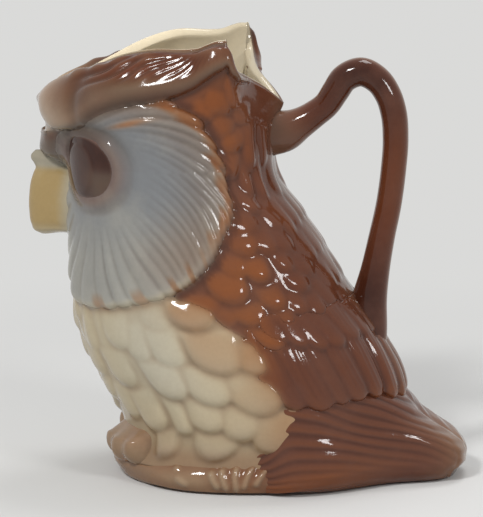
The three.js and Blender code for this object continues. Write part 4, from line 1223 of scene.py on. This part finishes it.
class OwlSkin:
    """The relief of the owl's left side from the base to the rim, and its glaze."""

    def __init__(self, sizes, glazes):
        form = OwlForm(sizes)
        self.form = form
        step = sizes["mesh_step"]
        span = 180 + 2 * SKIN_PAST_MIDDLE
        count = int(span * form.scale(*SKIN_SCALE_AT)[0] / step)
        columns = np.linspace(-SKIN_PAST_MIDDLE, 180 + SKIN_PAST_MIDDLE, count)
        rows = np.linspace(SKIN_FOOT, form.top, int((form.top - SKIN_FOOT) / step))
        relief = Plumage(columns, rows, form.scale, step)
        relief.depth += SKIN_GROUND
        relief.owner[:] = MANTLE
        draw_breast(relief)
        draw_mantle(relief)
        draw_wing(relief)
        head = Head(form, sizes, relief.column, relief.row)
        draw_disc(relief, head)
        draw_brow(form, relief)
        self.relief = relief
        self.soften()
        self.colours = self.glaze(glazes, head)

    def soften(self):
        """Rounds the relief as thick glaze does, least on the wings, discs and crests."""
        relief = self.relief
        height = relief.row
        fine = relief.softened(np.isin(relief.owner, (WING, DISC)).astype(float), 1)
        crest = (relief.owner == BROW) & (height > CREST_FOOT)
        fine += 0.8 * relief.softened(crest.astype(float), 1)
        soft = relief.softened(relief.depth, SOFT)
        relief.depth = soft + (relief.softened(relief.depth, FINE) - soft) * fine
        front = smooth_step(38, 28, relief.column) * smooth_step(80, 86, height)
        front *= smooth_step(112, 104, height)
        relief.depth += relief.hollows(FRONT_SOFT) * front
        edge = smooth_step(self.form.top - 2, self.form.top, height)
        relief.depth = relief.depth * (1 - edge) + 0.1 * edge

    def glaze(self, glazes, head):
        """The owners' colours, run together where they meet, with pools, thin crests and painted shade
        in the hollows and creases.
        """
        relief = self.relief
        warm = np.clip(relief.softened(relief.tint, 1.3), 0, 1)
        fields = {
            BREAST: breast_glaze(glazes, relief, warm),
            MANTLE: mantle_glaze(glazes, relief, warm, head.inward),
            WING: wing_glaze(glazes, relief),
            DISC: disc_glaze(glazes, relief, head),
            EYE: mix(glazes["grey"], glazes["milky"], 0.55),
            BROW: brow_glaze(glazes, self.form, relief),
        }
        weights = {owner: relief.owned(owner, 0.8) + 1e-6 for owner in fields}
        total = sum(weights.values())
        coat = Coat(glazes, "milky", relief.column.shape)
        blend = sum(fields[owner] * weights[owner][..., None] for owner in fields)
        coat.colours = blend / total[..., None]
        browns = np.clip((weights[MANTLE] + weights[WING]) / total, 0, 1)
        breast = relief.owned(BREAST, 0.6)
        wide = relief.hollows(2.2)
        narrow = relief.hollows(0.9)
        coat.spray("milky", 0.6 * np.clip(wide / 0.7, 0, 1) * browns)
        # Painted shade: buff darkens the hollows under the breast feathers' tips.
        coat.spray("buff", 0.45 * np.clip(wide / 0.7, 0, 1) * breast)
        # Painted shade in the creases: dark brown among the brown feathers, tan on the breast and taupe
        # shade elsewhere.
        groove = Coat(glazes, "taupe_shade", browns.shape).spray("dark", browns)
        groove.spray("tan", breast * 0.85, 0.9)
        coat.spray(groove.colours, np.clip(narrow / 0.4, 0, 1) * (0.45 + 0.1 * browns + 0.05 * breast))
        thin = Coat(glazes, "white", browns.shape).spray("orange", browns, 1.05)
        coat.spray(thin.colours, np.clip(-wide / 0.8, 0, 1) * (0.25 + 0.15 * browns))
        return np.clip(coat.colours, 0, 1)

    def piece(self, name, owner, side, material, node, slot):
        """Cuts one owner's places out of the relief. They dive under their neighbours at the edge."""
        relief = self.relief
        near = relief.owned(owner, 0.5)
        keep = near > 0.03
        rows = np.flatnonzero(keep.any(1))
        columns = np.flatnonzero(keep.any(0))
        if side == MIDDLE:
            columns = np.arange(np.searchsorted(relief.columns, 0), columns[-1] + 1)
        window = np.ix_(np.arange(rows[0], rows[-1] + 1), np.arange(columns[0], columns[-1] + 1))
        angle, height, keep = relief.column[window], relief.row[window], keep[window]
        depth = relief.depth[window] - 0.02 * owner - DIVE * smooth_step(0.4, 0.05, near[window])
        depth -= MIDDLE_DIVE * (smooth_step(0.6, 2, angle - 180) + smooth_step(0.6, 2, -angle))
        points = self.form.cast(angle, height, depth)
        colours = self.colours[window]
        if side == MIDDLE:
            points = np.concatenate([points[:, :0:-1] * [1, -1, 1], points], 1)
            colours = np.concatenate([colours[:, :0:-1], colours], 1)
            keep = np.concatenate([keep[:, :0:-1], keep], 1)
        else:
            points[..., 1] *= side
        thing = grid_object(name, points, colours, turned=side == RIGHT, keep=keep)
        return finish(thing, material, node)


SKINS = {}


def owl_skin(context):
    """The skin for the sizes and glazes in use, made once."""
    sizes = sizes_in_millimetres(context)
    glazes = glazes_of(context)
    key = str((sizes, glazes))
    if key not in SKINS:
        SKINS[key] = OwlSkin(sizes, glazes)
    return SKINS[key]


def cut_pair(context, owner, node, ending, material, slot="brown_glaze"):
    """Cuts the left and the right piece of an owner out of the skin."""
    for side, end in ((LEFT, "left"), (RIGHT, "right")):
        name = f"{node}_{end}"
        owl_skin(context).piece(f"{name}_{ending}", owner, side, material, name, slot)


class OWL_OT_breast(bpy.types.Operator):
    """Model the scale feathers of the breast"""

    bl_idname = "owl.breast"
    bl_label = "Breast"

    def execute(self, context):
        material = pale_glaze(glazes_of(context))
        skin = owl_skin(context)
        skin.piece("breast_feathers", BREAST, MIDDLE, material, "breast_plumage", "ivory_glaze")
        return {"FINISHED"}


class OWL_OT_mantle(bpy.types.Operator):
    """Model the feathers of the nape and the shoulders"""

    bl_idname = "owl.mantle"
    bl_label = "Nape and shoulders"

    def execute(self, context):
        cut_pair(context, MANTLE, "mantle", "feathers", brown_glaze(glazes_of(context)))
        return {"FINISHED"}


class OWL_OT_wings(bpy.types.Operator):
    """Model the folded wings with their long feathers"""

    bl_idname = "owl.wings"
    bl_label = "Wings"

    def execute(self, context):
        cut_pair(context, WING, "wing", "feathers", brown_glaze(glazes_of(context)))
        return {"FINISHED"}


class OWL_OT_discs(bpy.types.Operator):
    """Model the ribbed discs round the eyes"""

    bl_idname = "owl.discs"
    bl_label = "Face discs"

    def execute(self, context):
        material = glaze_material("Grey disc glaze", glazes_of(context)["white"], 0.3, 0.02, 0.16)
        cut_pair(context, DISC, "face_disc", "ribs", material, "grey_glaze")
        return {"FINISHED"}


class OWL_OT_brows(bpy.types.Operator):
    """Model the rolled brows with their ear tufts"""

    bl_idname = "owl.brows"
    bl_label = "Brows"

    def execute(self, context):
        material = glaze_material("Brow glaze", glazes_of(context)["milky"], 0.3, 0.014, 0.2, 0.13)
        cut_pair(context, BROW, "brow", "roll", material)
        return {"FINISHED"}


# The eye: how far its foot lies over the cast wall, and the rises of its dome and its round field.
EYE_GROUND = 1.2
EYE_DOME = 0.9
EYE_FIELD_RISE = 0.45
EYE_RIM = 1
EYE_COLUMNS = 97
EYE_ROWS = 49


def make_eye(form, sizes, glazes, side, name):
    """A low dome with a raised round field, which the glaze leaves dark red at its sides."""
    direction, along = np.meshgrid(np.linspace(0, 360, EYE_COLUMNS), np.linspace(0, 1, EYE_ROWS))
    reach = (sizes["eye_radius"] + EYE_RIM) * along
    away = np.radians(direction)
    degree = form.half_width(EYE_HEIGHT_SHARE * form.top) * math.pi / 180
    angle = EYE_ANGLE + EYE_WIDTH_SHARES[0] * reach * np.cos(away) / degree
    height = EYE_HEIGHT_SHARE * form.top + EYE_WIDTH_SHARES[1] * reach * np.sin(away)
    x = along * np.cos(away)
    y = along * np.sin(away)
    field = np.hypot((x + 0.22) / 0.58, (y + 0.08 - 0.25 * x) / 0.84)
    depth = EYE_GROUND + EYE_DOME * np.sqrt(np.clip(1 - (along * 0.98) ** 2, 0, 1))
    depth += EYE_FIELD_RISE * smooth_step(1.1, 0.86, field)
    depth[-1] = -1
    points = form.cast(angle, height, depth)
    points[..., 1] *= side
    points[0] = points[0].mean(0)
    points[:, -1] = points[:, 0]
    left = smooth_step(0.02, -0.2, x + 0.1 * y) * smooth_step(-0.15, 0.3, y)
    left *= smooth_step(0.97, 1.04, field)
    right = smooth_step(0.02, 0.14, x) * smooth_step(-0.2, 0.2, y) * smooth_step(0.92, 1.08, field)
    right *= smooth_step(0.97, 0.86, along)
    coat = Coat(glazes, "eye", along.shape)
    coat.spray("taupe", 0.85 * smooth_step(0.25, -0.4, y) * smooth_step(-0.1, 0.5, x), 0.74)
    coat.spray("eye_red", 0.95 * np.clip(left + right, 0, 1))
    coat.spray(mix(glazes["grey"], glazes["milky"], 0.7), 0.9 * smooth_step(0.86, 0.98, along))
    eye = grid_object(f"{name}_dome", points, np.clip(coat.colours, 0, 1), closed=True)
    material = glaze_material("Eye glaze", glazes["milky"], 0.25, 0.01, 0.08, 0.06)
    return finish(eye, material, name)


class OWL_OT_eyes(bpy.types.Operator):
    """Model the domed eyes"""

    bl_idname = "owl.eyes"
    bl_label = "Eyes"

    def execute(self, context):
        for side, name in ((LEFT, "eye_left"), (RIGHT, "eye_right")):
            make_eye(*form_and_glazes(context), side, name)
        return {"FINISHED"}


BEAK_HEIGHT_SHARES = (0.541, 0.725)
BEAK_ROOT_SHARE = -0.38
# How far the tip of the beak hooks down.
BEAK_HOOK = 0.9
BEAK_COLUMNS = 73
BEAK_ROWS = 80


def make_beak(form, sizes, glazes):
    low, high = [share * form.top for share in BEAK_HEIGHT_SHARES]
    turn, up = np.meshgrid(np.linspace(-1, 1, BEAK_COLUMNS), np.linspace(0, 1, BEAK_ROWS))
    front = smooth_curve(BEAK_SHARES, 1, sizes["depth"])(up)
    half_width = smooth_curve(BEAK_SHARES, 2, sizes["beak_half_width"])(up)
    root = BEAK_ROOT_SHARE * sizes["depth"]
    bend = np.pi / 2 * turn
    x = root + (front - root) * np.cos(bend) ** 0.85
    y = half_width * np.sin(bend) * (1 + 0.5 * np.abs(turn) ** 5)
    hook = BEAK_HOOK * smooth_step(0.25, 0, up) * smooth_step(0.3, 1, np.cos(bend))
    z = low + (high - low) * up - hook * (1 - up)
    points = np.stack([x, y, z], -1)
    bottom = points[0].copy()
    bottom[:, :2] = bottom[:, :2].mean(0)
    points = np.concatenate([(points[0] * 0.4 + bottom * 0.6)[None], points], 0)
    share = np.concatenate([up[:1], up], 0)
    aside = np.abs(np.concatenate([turn[:1], turn], 0))
    coat = Coat(glazes, "yellow", share.shape).spray("ivory", 0.12)
    coat.spray("white", 0.9 * smooth_step(0.74, 0.84, share), 0.84)
    coat.spray("white", 0.5 * smooth_step(0.16, 0.02, share))
    coat.spray("white", 0.85 * smooth_step(0.76, 0.97, aside), 0.9)
    beak = grid_object("beak_wedge", points, coat.colours, turned=True)
    material = glaze_material("Yellow beak glaze", glazes["ivory"], 0.3, 0.012, 0.1)
    return finish(beak, material, "beak")


class OWL_OT_beak(bpy.types.Operator):
    """Model the beak"""

    bl_idname = "owl.beak"
    bl_label = "Beak"

    def execute(self, context):
        make_beak(*form_and_glazes(context))
        return {"FINISHED"}


# Ridges on the skirt of the base: angle, height, length, lean and rise.
BASE_FOLDS = [
    (84, 4.5, 7, 30, 0.9),
    (88, 4.8, 8, 22, 1),
    (93, 5, 8.5, 12, 1),
    (98, 5.4, 8, -10, 0.9),
    (104, 6, 8, -25, 0.9),
    (70, 3.6, 5, 60, 0.6),
    (66, 7, 4, 40, 0.5),
    (116, 5, 7, 60, 0.5),
    (128, 4.5, 7, 60, 0.5),
]
FOLD_HALF_WIDTH = 0.8
# Millimetres of the skirt for one degree round the body.
SKIRT_DEGREE = 0.58
# The underside of the base: share of the way out from the middle, and height over the table.
BASE_UNDERSIDE = [
    (0, 1.1),
    (0.55, 1.1),
    (0.8, 1.05),
    (0.825, 0.2),
    (0.84, 0),
    (0.93, 0),
    (0.965, 0.12),
    (0.985, 0.5),
]
SKIRT_FOOT = 1
SKIRT_TOP = 11.5
SKIRT_ROWS = 30
SKIRT_COLUMNS = 561
# How far the skirt flares at its foot, and draws in under the plumage and in front.
SKIRT_FLARE = 0.7
SKIRT_DRAW = 2.7
SKIRT_FRONT_DRAW = 1.4


def skirt_relief(folded, height):
    relief = 0.5 * np.sin(folded / 9) * smooth_step(140, 40, folded) * bump_at(height, 4, 3)
    for place, level, length, lean, rise in BASE_FOLDS:
        along = (folded - place) * SKIRT_DEGREE
        slope = math.radians(lean)
        across = along * math.cos(slope) + (height - level) * math.sin(slope)
        onward = -along * math.sin(slope) + (height - level) * math.cos(slope)
        ridge = bump_at(across, 0, FOLD_HALF_WIDTH)
        relief += rise * ridge * smooth_step(length / 2, length / 2 - 2, np.abs(onward))
    relief += SKIRT_FLARE * smooth_step(9, 2, height)
    relief -= SKIRT_DRAW * smooth_step(3, SKIRT_TOP, height)
    return relief - SKIRT_FRONT_DRAW * smooth_step(75, 30, folded)


def make_base(form, sizes, glazes):
    angles = np.linspace(-180, 180, SKIRT_COLUMNS)
    angle, height = np.meshgrid(angles, np.linspace(SKIRT_FOOT, SKIRT_TOP, SKIRT_ROWS))
    relief = skirt_relief(np.abs(angle), height)
    side = form.section(angle, height)
    side = side + grid_normals(side) * relief[..., None]
    foot = form.section(angles, np.zeros_like(angles))
    centre = np.array([(form.front(0.0) + form.back(0.0)) / 2, 0, 0])
    under = [centre + (foot - centre) * [share, share, 1] for share, _ in BASE_UNDERSIDE]
    for ring, (_, level) in zip(under, BASE_UNDERSIDE):
        ring[:, 2] = level
    inner = side[-1] * [0.93, 0.93, 1]
    lid = centre + 0 * inner
    lid[:, 2] = SKIRT_TOP
    points = np.concatenate([np.array(under), side, inner[None], lid[None]], 0)
    full = np.repeat(np.abs(angles)[None], len(points), 0)
    hollow = np.zeros(full.shape)
    hollow[len(under):len(under) + SKIRT_ROWS] = blurred(relief, 5) - relief
    coat = Coat(glazes, "tan", full.shape)
    coat.spray("brown", smooth_step(92, 122, full))
    # Painted shade: brown darkens the hollows between the skirt's folds.
    coat.spray("brown", 0.5 * np.clip(hollow / 0.5, 0, 1))
    coat.spray("cream", 0.4 * np.clip(-hollow / 0.5, 0, 1))
    coat.spray("buff", 0.6 * smooth_step(7, 10, points[..., 2]) * smooth_step(100, 85, full))
    base = grid_object("base_skirt", points, np.clip(coat.colours, 0, 1), closed=True)
    return finish(base, tan_glaze(glazes), "foot_base")


class OWL_OT_base(bpy.types.Operator):
    """Model the oval base with its foot ring"""

    bl_idname = "owl.base"
    bl_label = "Base"

    def execute(self, context):
        make_base(*form_and_glazes(context))
        return {"FINISHED"}


# Toes: angle and height of the tip, half width, length, lean.
TOES = [
    (19, 5.6, 3.2, 9, -6),
    (30, 5, 3.5, 10, 0),
    (41, 5.6, 3.3, 9, 8),
]
TOE_BASE = 2.4
TOE_LIFT = 2.6
TOE_LUMP = 2.9
# How far the foot's edges dive into the skirt.
TOE_DIVE = 3
TOE_MESH_STEP = 0.32
# The foot's grid: its first and last angle and height, and the number of points between them.
TOE_ANGLES = (8, 54, 70)
TOE_HEIGHTS = (1, 19, 56)


def make_foot(form, sizes, glazes, side, name):
    columns = np.linspace(*TOE_ANGLES)
    relief = Plumage(columns, np.linspace(*TOE_HEIGHTS), form.scale, TOE_MESH_STEP)
    for angle, height, half_width, length, lean in TOES:
        relief.feather((angle, height), half_width, length, lean, TOE_LIFT, TOE_BASE, 1.1, **TOE_CUT)
        relief.lump((angle, height + 5.5), 3.6, TOE_LUMP)
    relief.depth = relief.softened(relief.depth, 1)
    relief.depth -= TOE_DIVE * (smooth_step(13, 18, relief.row) + smooth_step(4, 1, relief.row))
    relief.depth -= TOE_DIVE * (smooth_step(14, 9, relief.column) + smooth_step(46, 54, relief.column))
    coat = Coat(glazes, "tan", relief.column.shape).spray("cream", 0.3)
    # Painted shade: orange darkens the hollows round the toes.
    coat.spray("orange", 0.6 * np.clip(relief.hollows(1.4) / 0.6, 0, 1))
    points = form.cast(relief.column, relief.row, relief.depth)
    points[..., 1] *= side
    foot = grid_object(f"{name}_toes", points, coat.colours, turned=side == RIGHT)
    return finish(foot, tan_glaze(glazes), name)


class OWL_OT_feet(bpy.types.Operator):
    """Model the toes on the base"""

    bl_idname = "owl.feet"
    bl_label = "Feet"

    def execute(self, context):
        for side, name in ((LEFT, "foot_left"), (RIGHT, "foot_right")):
            make_foot(*form_and_glazes(context), side, name)
        return {"FINISHED"}


# The tail runs from the body under the wings out to the tail's edge. Its top line: share of the
# way from the side to the tip, angle on the body, height of the height.
TAIL_TOP_SHARES = [
    (0, 97, 0.085),
    (0.06, 101, 0.12),
    (0.14, 107, 0.2),
    (0.24, 116, 0.218),
    (0.45, 131, 0.222),
    (0.7, 150, 0.222),
    (0.88, 167, 0.22),
    (1, 180, 0.215),
]
# Its profile: share of the way up and share of the way out from the body to the edge.
TAIL_PROFILE_SHARES = [
    (0, 0.9),
    (0.06, 0.97),
    (0.16, 1),
    (0.27, 0.965),
    (0.38, 0.84),
    (0.48, 0.66),
    (0.6, 0.46),
    (0.74, 0.32),
    (0.87, 0.17),
    (1, -0.03),
]
TAIL_FEATHERS = 9
# How deep a feather's step, its coarse barbs and its fine barbs are.
TAIL_STEP = 0.55
TAIL_COARSE_BARBS = 0.1
TAIL_FINE_BARBS = 0.05
# The height of the tail's lower edge at the body, and how much it rises towards the tip.
TAIL_FOOT = 0.8
TAIL_RISE = 3.1
# The underside runs in to a line in the middle: how far that is moved forwards, and its height.
TAIL_SPINE = (-6, 0, 0.9)
TAIL_COLUMNS = 300
TAIL_ROWS = 90


def tail_relief(share, rise):
    stream = (rise + 0.12) ** 0.6 + 0.8 * share + 0.015 * np.sin(share * 17)
    feather = stream * TAIL_FEATHERS
    saw = feather % 1
    depth = TAIL_STEP * (1 - saw) ** 0.7 * smooth_step(0, 0.08, saw)
    coarse = np.cos(2 * math.pi * feather * 2.7 + np.sin(share * 9)) * smooth_step(0.1, 0.3, share)
    depth += TAIL_COARSE_BARBS * coarse
    depth += TAIL_FINE_BARBS * np.cos(2 * math.pi * feather * 6.3)
    return blurred(depth, 1.6) * (smooth_step(0, 0.12, rise) * smooth_step(1, 0.93, share))


def tail_sheet(form, sizes, share, rise):
    """The left half of the tail's upper side."""
    angle = smooth_curve(TAIL_TOP_SHARES, 1)(share)
    top = smooth_curve(TAIL_TOP_SHARES, 2, form.top)(share)
    body = form.cast(angle, top, 0.5 + 0 * top)
    start = TAIL_PLAN_SHARES[0][0] * sizes["depth"]
    end = TAIL_PLAN_SHARES[-1][0] * sizes["depth"]
    edge_x = start + (end - start) * np.sin(math.pi / 2 * share) ** 1.1
    edge_y = -smooth_curve(TAIL_PLAN_SHARES, 1, sizes["width"], sizes["depth"])(edge_x)
    out = smooth_curve(TAIL_PROFILE_SHARES, 1)(rise)
    x = body[..., 0] + (edge_x - body[..., 0]) * out
    y = body[..., 1] + (edge_y - body[..., 1]) * out
    rising = smooth_step(0.02, 0.35, share) * (1 - 0.6 * smooth_step(0.55, 1, share))
    low = TAIL_FOOT + TAIL_RISE * rising
    return np.stack([x, y, low + (top - low) * rise], -1)


def make_tail(form, sizes, glazes):
    share, rise = np.meshgrid(np.linspace(0, 1, TAIL_COLUMNS), np.linspace(0, 1, TAIL_ROWS))
    depth = tail_relief(share, rise)
    sheet = tail_sheet(form, sizes, share, rise)
    sheet += grid_normals(sheet) * depth[..., None]
    half = np.concatenate([sheet, sheet[:, -2::-1] * [1, -1, 1]], 1)
    hollow = blurred(depth, 5) - depth
    coat = Coat(glazes, "brown", share.shape).spray("milky", 0.6)
    # Painted shade: dark brown darkens the grooves between the tail's feathers.
    coat.spray("dark", 0.6 * np.clip(hollow / 0.2, 0, 1))
    coat.spray("orange", 0.4 * np.clip(-hollow / 0.2, 0, 1) * smooth_step(0.8, 0.3, share))
    coat.spray("orange", 0.5 * smooth_step(0.35, 0.05, rise) * smooth_step(0.6, 0.3, share))
    coat.spray("tan", 0.9 * smooth_step(0.55, 0.98, share) * smooth_step(0.8, 0.25, rise))
    both = np.concatenate([coat.colours, coat.colours[:, -2::-1]], 1)
    spine = half[:1] * [1, 0, 0] + TAIL_SPINE
    under = [spine + (half[:1] - spine) * [step, step, 0] for step in (0, 0.35, 0.7, 0.93)]
    column = np.array([form.back(0.0) * 0.6, 0, 0])
    lid = [column + (half[-1:] - column) * [step, step, 1] for step in (0.9, 0.6)]
    points = np.concatenate([*under, half, *lid], 0)
    ends = np.concatenate([both[:1]] * len(under) + [both] + [both[-1:]] * len(lid), 0)
    tail = grid_object("tail_fan", points, np.clip(ends, 0, 1))
    return finish(tail, brown_glaze(glazes), "tail")


class OWL_OT_tail(bpy.types.Operator):
    """Model the tail"""

    bl_idname = "owl.tail"
    bl_label = "Tail"

    def execute(self, context):
        make_tail(*form_and_glazes(context))
        return {"FINISHED"}


HANDLE_ROWS = 260
HANDLE_COLUMNS = 65


def make_handle(form, sizes, glazes):
    path = np.array(HANDLE_PATH_SHARES) * [sizes["depth"], form.top, 1]
    lengths = np.concatenate([[0], np.cumsum(np.hypot(*np.diff(path[:, :2], axis=0).T))])
    table = np.column_stack([lengths, path])
    place = np.linspace(0, lengths[-1], HANDLE_ROWS)
    x, z, swell = [smooth_curve(table, column)(place) for column in (1, 2, 3)]
    onward = np.gradient(np.stack([x, z], -1), axis=0)
    onward /= np.linalg.norm(onward, axis=-1, keepdims=True)
    turn = np.linspace(0, 2 * np.pi, HANDLE_COLUMNS)
    thick = sizes["handle_thickness"] / 2 * swell
    wide = sizes["handle_width"] / 2 * np.sqrt(swell)
    out = thick[:, None] * np.cos(turn)
    across = wide[:, None] * np.sin(turn)
    points = np.stack([x[:, None] - onward[:, 1:] * out, across, z[:, None] + onward[:, :1] * out], -1)
    ends = [np.repeat([[path[i, 0], 0, path[i, 1]]], HANDLE_COLUMNS, 0) for i in (0, -1)]
    points = np.concatenate([ends[:1], points, ends[1:]], 0)
    share = np.concatenate([[0], place / lengths[-1], [1]])[:, None] + 0 * points[..., 0]
    facing = np.abs(np.sin(turn))[None] + 0 * share
    # Painted reflection: the edges that turn away from the camera get a lighter milky and taupe sheen,
    # while the sides that face it are brown.
    coat = Coat(glazes, "milky", share.shape, 1.15)
    coat.spray("brown", 0.15 + 0.85 * facing)
    coat.spray("dark", 0.85 * bump_at(share, 0.3, 0.15) * facing)
    coat.spray("dark", 0.85 * smooth_step(0.66, 0.9, share) * facing)
    coat.spray("orange", 0.25 * bump_at(share, 0.55, 0.15) * facing)
    coat.spray("taupe", 0.6 * smooth_step(0.55, 0.15, facing), 1.05)
    coat.spray("taupe", 0.6 * smooth_step(0.14, 0.02, share))
    handle = grid_object("handle_loop", points, coat.colours, closed=True)
    return finish(handle, brown_glaze(glazes), "handle")


class OWL_OT_handle(bpy.types.Operator):
    """Model the looped handle"""

    bl_idname = "owl.handle"
    bl_label = "Handle"

    def execute(self, context):
        make_handle(*form_and_glazes(context))
        return {"FINISHED"}


# The stage, in metres and degrees
CAMERA_PLACE = (7, 10.5, 0.753)
CAMERA_LENS = 187.3
LOOK_AT = (-0.0017, 0, 0.06)
BACKGROUND = (0.7, 0.7, 0.69, 1)
FLOOR_COLOUR = (0.64, 0.64, 0.63, 1)
FLOOR_ROUGHNESS = 0.8
FLOOR_HALF_WIDTH = 3
# How far from the object the floor starts and ends to turn into the background.
FLOOR_FADE = (0.1, 0.3)
SKY_STRENGTH = 0.45
# Lamps: azimuth, elevation, distance, size and power.
LAMPS = {
    "key": (-28, 44, 0.7, 0.11, 2.7),
    "fill": (52, 24, 0.8, 0.16, 1.9),
    "top": (150, 70, 0.8, 0.3, 2),
}


def towards(azimuth, elevation, distance):
    """A point seen from the object, with azimuth 0 in front of the photograph's side."""
    turn = math.radians(azimuth)
    rise = math.radians(elevation)
    return (
        LOOK_AT[0] + distance * math.sin(turn) * math.cos(rise),
        LOOK_AT[1] - distance * math.cos(turn) * math.cos(rise),
        LOOK_AT[2] + distance * math.sin(rise),
    )


def place_and_aim(context, name, data, place):
    """Adds a lamp or camera at a place seen from the object, and turns it to the object."""
    thing = bpy.data.objects.new(name, data)
    thing.location = towards(*place)
    direction = Vector(LOOK_AT) - Vector(thing.location)
    thing.rotation_euler = direction.to_track_quat("-Z", "Y").to_euler()
    context.scene.collection.objects.link(thing)
    return thing


def seen_directly(tree):
    """1 for the camera's rays and for what is seen in gloss or through glass."""
    path = tree.nodes.new("ShaderNodeLightPath").outputs
    total = path["Is Camera Ray"]
    for name in ("Is Glossy Ray", "Is Transmission Ray"):
        total = add_node(tree, "ShaderNodeMath", "Value", {0: total, 1: path[name]}, operation="MAXIMUM")
    return total


def show_background(tree, kind, share, shader, target):
    """Shows the background's own colour in the place of a shader, by a share."""
    plain = add_node(tree, kind, 0, {"Color": BACKGROUND})
    blend = add_node(tree, "ShaderNodeMixShader", 0, {"Fac": share, 1: shader, 2: plain})
    tree.links.new(blend, target.inputs["Surface"])


def make_sky(context):
    """An even light that looks like the background wherever it is seen."""
    world = bpy.data.worlds.new("studio")
    world.use_nodes = True
    context.scene.world = world
    tree = world.node_tree
    sky = tree.nodes["Background"]
    feed(tree, sky, {"Color": (1, 1, 1, 1), "Strength": SKY_STRENGTH})
    target = tree.nodes["World Output"]
    show_background(tree, "ShaderNodeBackground", seen_directly(tree), sky.outputs[0], target)


def make_floor(context):
    """A floor that keeps the object's shadow, and runs out into the background far away."""
    floor = bpy.data.objects.new("floor", flat_grid("floor", 1, 1, FLOOR_HALF_WIDTH))
    context.scene.collection.objects.link(floor)
    material = bpy.data.materials.new("Pale floor")
    material.use_nodes = True
    tree = material.node_tree
    shader = tree.nodes["Principled BSDF"]
    feed(tree, shader, {"Base Color": FLOOR_COLOUR, "Roughness": FLOOR_ROUGHNESS})
    place = add_node(tree, "ShaderNodeTexCoord", "Object")
    distance = add_node(tree, "ShaderNodeVectorMath", "Value", {0: place}, operation="LENGTH")
    fade = {"Value": distance, "From Min": FLOOR_FADE[0], "From Max": FLOOR_FADE[1]}
    far = add_node(tree, "ShaderNodeMapRange", "Result", fade, interpolation_type="SMOOTHSTEP")
    share = add_node(
        tree, "ShaderNodeMath", "Value", {0: far, 1: seen_directly(tree)}, operation="MULTIPLY"
    )
    target = tree.nodes["Material Output"]
    show_background(tree, "ShaderNodeEmission", share, shader.outputs[0], target)
    floor.data.materials.append(material)


class OWL_OT_stage(bpy.types.Operator):
    """Set the floor, the light and the camera"""

    bl_idname = "owl.stage"
    bl_label = "Stage"

    def execute(self, context):
        scene = context.scene
        scene.view_settings.view_transform = "Standard"
        camera = place_and_aim(context, "camera", bpy.data.cameras.new("camera"), CAMERA_PLACE)
        camera.data.lens = CAMERA_LENS
        camera.data.sensor_fit = "AUTO"
        scene.camera = camera
        for name, (azimuth, elevation, distance, size, power) in LAMPS.items():
            lamp = bpy.data.lights.new(name, "AREA")
            lamp.size = size
            lamp.energy = power
            place_and_aim(context, name, lamp, (azimuth, elevation, distance))
        make_sky(context)
        make_floor(context)
        return {"FINISHED"}


OPERATORS = (
    OWL_OT_vessel,
    OWL_OT_breast,
    OWL_OT_mantle,
    OWL_OT_wings,
    OWL_OT_discs,
    OWL_OT_eyes,
    OWL_OT_brows,
    OWL_OT_beak,
    OWL_OT_base,
    OWL_OT_feet,
    OWL_OT_tail,
    OWL_OT_handle,
    OWL_OT_stage,
)


class OWL_PT_pitcher(bpy.types.Panel):
    """Lists the pieces of the owl pitcher"""

    bl_idname = "OWL_PT_pitcher"
    bl_label = "Owl Pitcher"
    bl_space_type = "VIEW_3D"
    bl_region_type = "UI"
    bl_category = "Owl Pitcher"

    def draw(self, context):
        column = self.layout.column()
        for name in OwlSizes.__annotations__:
            column.prop(context.scene.owl_sizes, name)
        for name in OwlGlazes.__annotations__:
            column.prop(context.scene.owl_glazes, name)
        for operator in OPERATORS:
            column.operator(operator.bl_idname)


CLASSES = (OwlSizes, OwlGlazes, *OPERATORS, OWL_PT_pitcher)


def register():
    for item in CLASSES:
        bpy.utils.register_class(item)
    bpy.types.Scene.owl_sizes = bpy.props.PointerProperty(type=OwlSizes)
    bpy.types.Scene.owl_glazes = bpy.props.PointerProperty(type=OwlGlazes)


def unregister():
    del bpy.types.Scene.owl_glazes
    del bpy.types.Scene.owl_sizes
    for item in reversed(CLASSES):
        bpy.utils.unregister_class(item)


def main():
    register()
    bpy.ops.owl.vessel()
    bpy.ops.owl.breast()
    bpy.ops.owl.mantle()
    bpy.ops.owl.wings()
    bpy.ops.owl.discs()
    bpy.ops.owl.eyes()
    bpy.ops.owl.brows()
    bpy.ops.owl.beak()
    bpy.ops.owl.base()
    bpy.ops.owl.feet()
    bpy.ops.owl.tail()
    bpy.ops.owl.handle()
    bpy.ops.owl.stage()
    bpy.context.view_layer.update()


if __name__ == "__main__":
    main()
